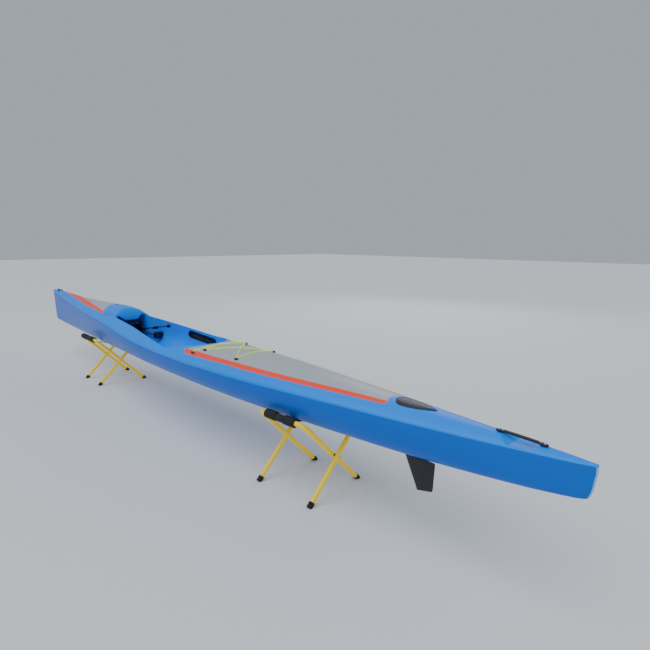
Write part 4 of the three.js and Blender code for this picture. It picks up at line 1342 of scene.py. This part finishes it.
class Trestle(bpy.types.PropertyGroup):
    """Sizes of both trestles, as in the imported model."""

    tube: Length(name="Tube", description="Radius of the tubes", default=0.012)
    foam: Length(name="Foam", description="Radius of the foam sleeves", default=0.022)
    waist: Length(name="Waist", description="Radius of a sleeve under the sling", default=0.015)
    bar_y: Length(name="Bar across", description="Distance of a top bar from the middle plane", default=0.191)
    bar_z: Length(name="Bar height", description="Height of the top bars", default=0.377)
    foot_y: Length(name="Foot across", description="Distance of a leg's end from the middle plane",
                   default=0.171)
    foot_z: Length(name="Foot height", description="Height of a leg's end", default=0.014)
    bend: Length(name="Bend", description="Length that a bend takes on each side", default=0.048)
    sling: Length(name="Sling", description="Width of the webbing", default=0.048)
    sling_thick: Length(name="Sling thickness", description="Thickness of the webbing", default=0.002)
    cap: Length(name="Cap", description="Radius of the rubber feet", default=0.0143)


class Gear(bpy.types.PropertyGroup):
    """Sizes of the foot gear and the deck gear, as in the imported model."""

    rail_y: Length(name="Rail across", description="Distance of a rail from the middle plane", default=0.078)
    rail_z: Length(name="Rail height", description="Height of the rails", default=0.462)
    rail_size: Length(name="Rail", description="Width and height of a rail", default=0.012)
    plate_x: Length(name="Plate", description="Place of the footplate's middle", default=0.700)
    strap: Length(name="Strap", description="Width of the instep strap", default=0.064)
    rod: Length(name="Rod", description="Radius of the adjusting rod", default=0.004)
    bungee: Length(name="Bungee", description="Radius of the bungee", default=0.0025)


class SURFSKI_OT_camera(bpy.types.Operator):
    """Place the camera at the photograph's viewpoint"""

    bl_idname = "surfski.camera"
    bl_label = "Camera"

    def execute(self, context):
        view = context.scene.surfski_view
        cos, sin = math.cos, math.sin
        level = np.array([cos(view.heading), sin(view.heading), 0])
        ahead = level * cos(view.pitch) - Z_AXIS * sin(view.pitch)
        right = np.array([sin(view.heading), -cos(view.heading), 0])
        up = np.cross(right, ahead)
        side = right * cos(view.roll) + up * sin(view.roll)
        over = up * cos(view.roll) - right * sin(view.roll)
        data = bpy.data.cameras.new("camera")
        data.lens = view.lens
        data.sensor_width = SENSOR
        context.scene.camera = aimed("camera", data, view.eye, side, over, ahead)
        return {"FINISHED"}


class SURFSKI_OT_stage(bpy.types.Operator):
    """Make the pale floor and the soft lights"""

    bl_idname = "surfski.stage"
    bl_label = "Stage"

    def execute(self, context):
        size = context.scene.surfski_view.floor
        ends = np.linspace(-size, size, 2)
        floor = put("floor", [at(ends[:, None], ends[None, :], -FLOOR_DROP)], closed=False, solid=False)
        made = shader("floor_paint", (0.8, 0.8, 0.79), 0.9, Specular_IOR_Level=0.1)
        floor.data.materials.append(made)
        if floor.data.polygons[0].normal.z < 0:
            floor.data.flip_normals()
        for lamp in LAMPS:
            self.lamp(*lamp)
        world = bpy.data.worlds.new("studio")
        world.use_nodes = True
        background = world.node_tree.nodes["Background"].inputs
        background["Color"].default_value = STUDIO
        background["Strength"].default_value = STUDIO_STRENGTH
        context.scene.world = world
        return {"FINISHED"}

    def lamp(self, name, kind, place, size, power, color):
        """A lamp aimed at the boat. size: diameter, or for a sun its angle."""
        data = bpy.data.lights.new(name, kind)
        if kind == "SUN":
            data.angle = size
        else:
            data.shape, data.size = "DISK", size
        data.energy = power
        data.color = color
        ahead = unit(LAMP_AIM - np.array(place))
        right = unit(np.cross(ahead, Z_AXIS))
        aimed(name, data, place, right, np.cross(right, ahead), ahead)


class SURFSKI_OT_hull(bpy.types.Operator):
    """Make the hull below the knuckle"""

    bl_idname = "surfski.hull"
    bl_label = "Hull"

    def execute(self, context):
        grid = hull_grid()
        x, z = grid[..., 0].ravel(), grid[..., 2].ravel()
        # points along the stern's stem edge, which get the painted highlight
        edge = (z < station("keel", np.maximum(x - HIGHLIGHT_WIDTH, STERN))) | (x < STERN + HIGHLIGHT_WIDTH)
        stem_highlight = {"stem_highlight": (edge & (x < HIGHLIGHT_END)).astype(float)}
        shell = build("hull_shell", [grid], "hull_gelcoat", ["hull"], closed=False, attributes=stem_highlight)
        thicken(shell, 2.5 * MM)
        return {"FINISHED"}


class SURFSKI_OT_deck(bpy.types.Operator):
    """Make the deck with the cockpit and the hump over the feet"""

    bl_idname = "surfski.deck"
    bl_label = "Deck"

    def execute(self, context):
        grids = weld_halves(deck_grids())
        shell = build("deck_shell", grids, "deck_gelcoat", ["deck", "cockpit_tub"], closed=False)
        thicken(shell, 2.0 * MM)
        return {"FINISHED"}


class SURFSKI_OT_grips(bpy.types.Operator):
    """Make the recessed carrying grips in the cockpit's walls"""

    bl_idname = "surfski.grips"
    bl_label = "Carrying grips"

    def execute(self, context):
        for name, side in SIDES:
            sheet = build(f"grip_{name}_bezel", [grip_sheet(side)], "black_plastic", [f"grip_{name}"])
            thicken(sheet, 1.2 * MM)
        return {"FINISHED"}


class SURFSKI_OT_handles(bpy.types.Operator):
    """Make the handles at both ends, with their screws"""

    bl_idname = "surfski.handles"
    bl_label = "Handles"

    def execute(self, context):
        for name, handle in HANDLES.items():
            build(f"handle_{name}_bar", [handle_bar(handle)], "black_plastic", [f"handle_{name}"])
            offsets = handle["length"] / 2 - np.array(SCREW_BACKS)
            heads = []
            for x in handle["x"] + np.concatenate([-offsets, offsets]):
                top = (x, 0, station("crown", x) + SCREW_TOP)
                heads.append(bolt_head(top, Z_AXIS, *HANDLE_SCREW))
            build(f"handle_{name}_screws", heads, "steel")
        return {"FINISHED"}


class SURFSKI_OT_rudder(bpy.types.Operator):
    """Make the rudder blade with its stock, and finish the stock's tube"""

    bl_idname = "surfski.rudder"
    bl_label = "Rudder"

    def execute(self, context):
        stock = turned(STOCK, STOCK_X * X_AXIS, Z_AXIS)
        build("rudder_foil", [blade_grid(), stock], "black_plastic", ["rudder_blade"], "rudder")
        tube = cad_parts["rudder_tube"]
        tube.data.materials.clear()
        tube.data.materials.append(material("rail_aluminium"))
        build("hatch_lens", [hatch_grid()], "black_plastic", ["rudder_hatch_cover"])
        return {"FINISHED"}


class SURFSKI_OT_foot_gear(bpy.types.Operator):
    """Make the rails, clamps, footplate, pedals, strap and adjusting rod"""

    bl_idname = "surfski.foot_gear"
    bl_label = "Foot gear"

    def execute(self, context):
        gear = context.scene.surfski_gear
        for name, side in SIDES:
            self.rail(gear, name, side)
            self.clamp(gear, name, side)
            self.pedal(gear, name, side)
        self.plate(gear)
        self.strap(gear)
        self.rod(gear)
        return {"FINISHED"}

    def rail(self, gear, name, side):
        """Channel with its open side up, a stop on its aft end, and bolts in the wall above it."""
        y, z = side * gear.rail_y, gear.rail_z
        rail = swept(at(RAIL_X, y, z), CHANNEL * gear.rail_size / 2, Z_AXIS)
        build(f"rail_{name}", [rail], "rail_aluminium", [f"foot_rail_{name}"], smooth_angle=CREASE_ANGLE)
        build(f"rail_stop_{name}", [block("rail_stop", np.array([RAIL_STOP_X, y, z]))], "black_plastic")
        heads = []
        for x, z in zip(BOLT_X, BOLT_Z + BOLT_SLOPE * (BOLT_X - BOLT_X[0])):
            foot = (x, side * (wall_half(x, z) - BOLT_GAP), z)
            heads.append(bolt_head(foot, -side * Y_AXIS, *WALL_BOLT))
        build(f"wall_bolts_{name}", heads, "steel")

    def clamp(self, gear, name, side):
        """A ribbed block from the rail to the wall: a round-edged slab and three narrower ones on it."""
        blocks = []
        for x, wide, high, inner in zip(*CLAMP.values()):
            reach = wall_half(x, gear.rail_z) - inner + CLAMP_SUNK
            place = np.array([x, side * inner, gear.rail_z])
            axes = (X_AXIS, Z_AXIS, side * Y_AXIS)
            blocks.append(rounded_block(wide, high, CLAMP_CORNER, reach, CLAMP_EDGE, place, axes))
        build(f"clamp_{name}", blocks, "black_plastic", [f"rail_clamp_{name}"], weld=FINE_WELD)

    def pedal(self, gear, name, side):
        place = np.array([gear.plate_x - PEDAL_BACK, side * PEDAL_Y, PEDAL_Z])
        blocks = self.ribbed("pedal", place, PEDAL_RIBS, PEDAL_PROUD)
        build(f"toe_pedal_{name}", blocks, "black_plastic", [f"pedal_{name}"], "footrest", weld=FINE_WELD)

    def plate(self, gear):
        place = np.array([gear.plate_x - PLATE_BACK, 0, PLATE_Z])
        blocks = self.ribbed("plate", place, PLATE_RIBS, PLATE_PROUD)
        for side in (-1, 1):
            place = np.array([gear.plate_x - SLEEVE_BACK, side * gear.rail_y, gear.rail_z])
            blocks.append(block("plate_sleeve", place))
        build("foot_plate", blocks, "black_plastic", ["footplate"], "footrest", weld=FINE_WELD)

    def ribbed(self, kind, place, heights, proud):
        """A plate with a level rib at each height, which stands proud of its aft face."""
        ribs = [block(f"{kind}_rib", place - proud * X_AXIS + height * Z_AXIS) for height in heights]
        return [block(kind, place), *ribs]

    def strap(self, gear):
        """Instep strap: webbing along half an ellipse from one sleeve to the other."""
        turn = np.linspace(0, math.pi, 61)
        x = gear.plate_x - STRAP_BACK - gear.strap / 2
        foot = gear.rail_z + SLEEVE_TOP
        path = at(x, STRAP_HALF * np.cos(turn), foot + STRAP_RISE * np.sin(turn))
        grid, marks = with_lengths(path, rounded(STRAP_THICK, gear.strap, STRAP_EDGE, 3), X_AXIS)
        strap = build("instep_strap", [grid], "strap_webbing", ["foot_strap"], "footrest", attributes=marks)

    def rod(self, gear):
        """Adjusting rod with a knob at its end, a superellipse turned about it and fluted round its middle,
        and a grip part way, whose radius is a wave along it."""
        fore = np.array([*ROD_FORE, gear.rail_z + SLEEVE_TOP + gear.rod])
        axis = unit(fore - ROD_KNOB)
        rod = swept(finely(np.stack([fore, ROD_KNOB]), 20 * MM), circle(gear.rod), Z_AXIS)

        def barrel(middle, half, radius, power, steps, sides):
            h = np.linspace(-half, half, steps)
            width = radius * np.sqrt(np.clip(1 - (np.abs(h) / half) ** power, 0, 1))
            return h, turned(np.stack([width, h], axis=-1), middle, axis, sides)

        h, ball = barrel(ROD_KNOB, *KNOB, 41, 48)
        angle = np.linspace(0, 2 * math.pi, 48, endpoint=False)
        flutes = 1 - FLUTE_DEPTH * (0.5 - 0.5 * np.cos(FLUTES * angle))
        fluted = (np.abs(h) < FLUTED_HALF)[:, None]
        ball = partway(ROD_KNOB, ball, np.where(fluted, flutes, 1)[..., None])
        middle = partway(fore, ROD_KNOB, (fore[0] - ROD_GRIP_X) / (fore[0] - ROD_KNOB[0]))
        h, grip = barrel(middle, *ROD_GRIP, 71, 32)
        line = middle + h[:, None, None] * axis
        wave = 1 + WAVE_DEPTH * np.cos(2 * math.pi * h / WAVE_PITCH)
        grip = partway(line, grip, wave[:, None, None])
        build("adjuster", [rod, ball, grip], "black_plastic", ["adjuster_rod"], "footrest", weld=FINE_WELD)


class SURFSKI_OT_deck_gear(bpy.types.Operator):
    """Make the bungee with its fittings, and the eye on the hump"""

    bl_idname = "surfski.deck_gear"
    bl_label = "Bungee and eye"

    def execute(self, context):
        radius = context.scene.surfski_gear.bungee
        grid, marks = with_lengths(bungee_path(radius), circle(radius, 16), Z_AXIS)
        build("bungee_line", [grid], "bungee_braid", ["bungee"], attributes=marks)
        heads = []
        for k, (x, y) in enumerate(BUNGEE_ROUTE, start=1):
            place, ahead, out, up = deck_frame(x, y)
            if 1 < k < len(BUNGEE_ROUTE):
                outline, levels = stadium(PAD_LONG, PAD_WIDE), PAD_LEVELS
                heads.append(bolt_head(place + up * PAD_TOP, up, *PAD_SCREW))
            else:
                outline, levels = circle(END_RADIUS, 40), END_LEVELS
            pad = stacked(outline, np.array(levels) * MM, place, ahead, out, up)
            build(f"bungee_pad_{k}", [pad], "black_plastic", [f"bungee_fitting_{k}"])
        build("bungee_screws", heads, "steel")
        place, _, _, up = deck_frame(EYE_X, 0.0)
        build("hump_grommet", [turned(EYE, place, up, 40)], "black_plastic", ["hump_eye"])
        return {"FINISHED"}


class SURFSKI_OT_trestles(bpy.types.Operator):
    """Make both trestles: tubes, foam, caps, pins and slings"""

    bl_idname = "surfski.trestles"
    bl_label = "Trestles"

    def execute(self, context):
        size = context.scene.surfski_trestle
        for key, trestle in TRESTLES.items():
            name = f"trestle_{key}"
            for kind, (half, match) in FRAMES.items():
                self.one_frame(size, trestle, f"{name}_{kind}", half, trestle[2] * match)
            self.pins(size, trestle, name)
            path = sling_path(size, trestle)
            outline = rounded(size.sling_thick, size.sling, 0.8 * MM, 2)
            grid, marks = with_lengths(path, outline, X_AXIS)
            sling = self.placed(trestle, f"{name}_webbing", [grid], "black_webbing", [f"{name}_sling"],
                                attributes=marks)
        return {"FINISHED"}

    def placed(self, trestle, name, grids, *finish, **shape):
        """A piece from grids made round the trestle's own middle."""
        return build(name, [at_trestle(grid, trestle) for grid in grids], *finish, **shape)

    def one_frame(self, size, trestle, name, half, side):
        path = frame_path(size, half, side)
        leg = np.array([0, side * (size.bar_y + size.foot_y), size.bar_z - size.foot_z])
        tube = swept(path, circle(size.tube, 28), np.cross(X_AXIS, leg))
        self.placed(trestle, f"{name}_tube", [tube], "trestle_lacquer", [f"{name}_frame"])
        foam_sleeve = foam_grid(size, half, side)
        sleeve = self.placed(trestle, f"{name}_sleeve", [foam_sleeve], "black_foam", [f"{name}_foam"])
        for end, way in ENDS:
            cap = foot_cap(size, half, side, way)
            self.placed(trestle, f"{name}_foot_{end}", [cap], "black_rubber", [f"{name}_cap_{end}"])

    def pins(self, size, trestle, name):
        """Spacer and rivet where the legs cross, with a domed head outside and inside."""
        outer, inner = FRAMES["outer"][0], FRAMES["inner"][0]
        near, far = inner + size.tube + PIN_GAP, outer - size.tube - PIN_GAP
        washer = [(0, near), (PIN_RADIUS, near), (PIN_RADIUS, far), (0, far)]
        share = size.foot_y / (size.foot_y + size.bar_y)
        crossing = (size.foot_z + (size.bar_z - size.foot_z) * share) * Z_AXIS
        for end, way in ENDS:
            out = way * X_AXIS
            disc = turned(washer, crossing, out, 32)
            self.placed(trestle, f"{name}_spacer_{end}", [disc], "black_plastic", [f"{name}_pivot_{end}"],
                        weld=FINE_WELD)
            heads = [bolt_head(crossing + out * (outer + size.tube - HEAD_SEAT), out, *RIVET),
                     bolt_head(crossing + out * (inner - size.tube + HEAD_SEAT), -out, *RIVET)]
            self.placed(trestle, f"{name}_rivet_{end}", heads, "steel")


class SURFSKI_PT_sidebar(bpy.types.Panel):
    """The surfski's pieces and settings"""

    bl_idname = "SURFSKI_PT_sidebar"
    bl_label = "Surfski"
    bl_space_type = "VIEW_3D"
    bl_region_type = "UI"
    bl_category = "Surfski"

    def draw(self, context):
        for group in SETTINGS:
            settings = getattr(context.scene, group)
            for key in settings.__annotations__:
                self.layout.prop(settings, key)
        for step in STEPS:
            self.layout.operator(step.bl_idname)


SETTINGS = {"surfski_paints": Paints, "surfski_view": View, "surfski_trestle": Trestle, "surfski_gear": Gear}
STEPS = [
    SURFSKI_OT_camera, SURFSKI_OT_stage, SURFSKI_OT_hull, SURFSKI_OT_deck, SURFSKI_OT_grips,
    SURFSKI_OT_handles, SURFSKI_OT_rudder, SURFSKI_OT_foot_gear, SURFSKI_OT_deck_gear, SURFSKI_OT_trestles,
]


def register():
    for item in (*SETTINGS.values(), *STEPS, SURFSKI_PT_sidebar):
        bpy.utils.register_class(item)
    for name, group in SETTINGS.items():
        setattr(bpy.types.Scene, name, PointerProperty(type=group))


def unregister():
    for name in SETTINGS:
        delattr(bpy.types.Scene, name)
    for item in reversed((*SETTINGS.values(), *STEPS, SURFSKI_PT_sidebar)):
        bpy.utils.unregister_class(item)


def main():
    register()
    for step in STEPS:
        group, name = step.bl_idname.split(".")
        getattr(getattr(bpy.ops, group), name)()


if __name__ == "__main__":
    main()
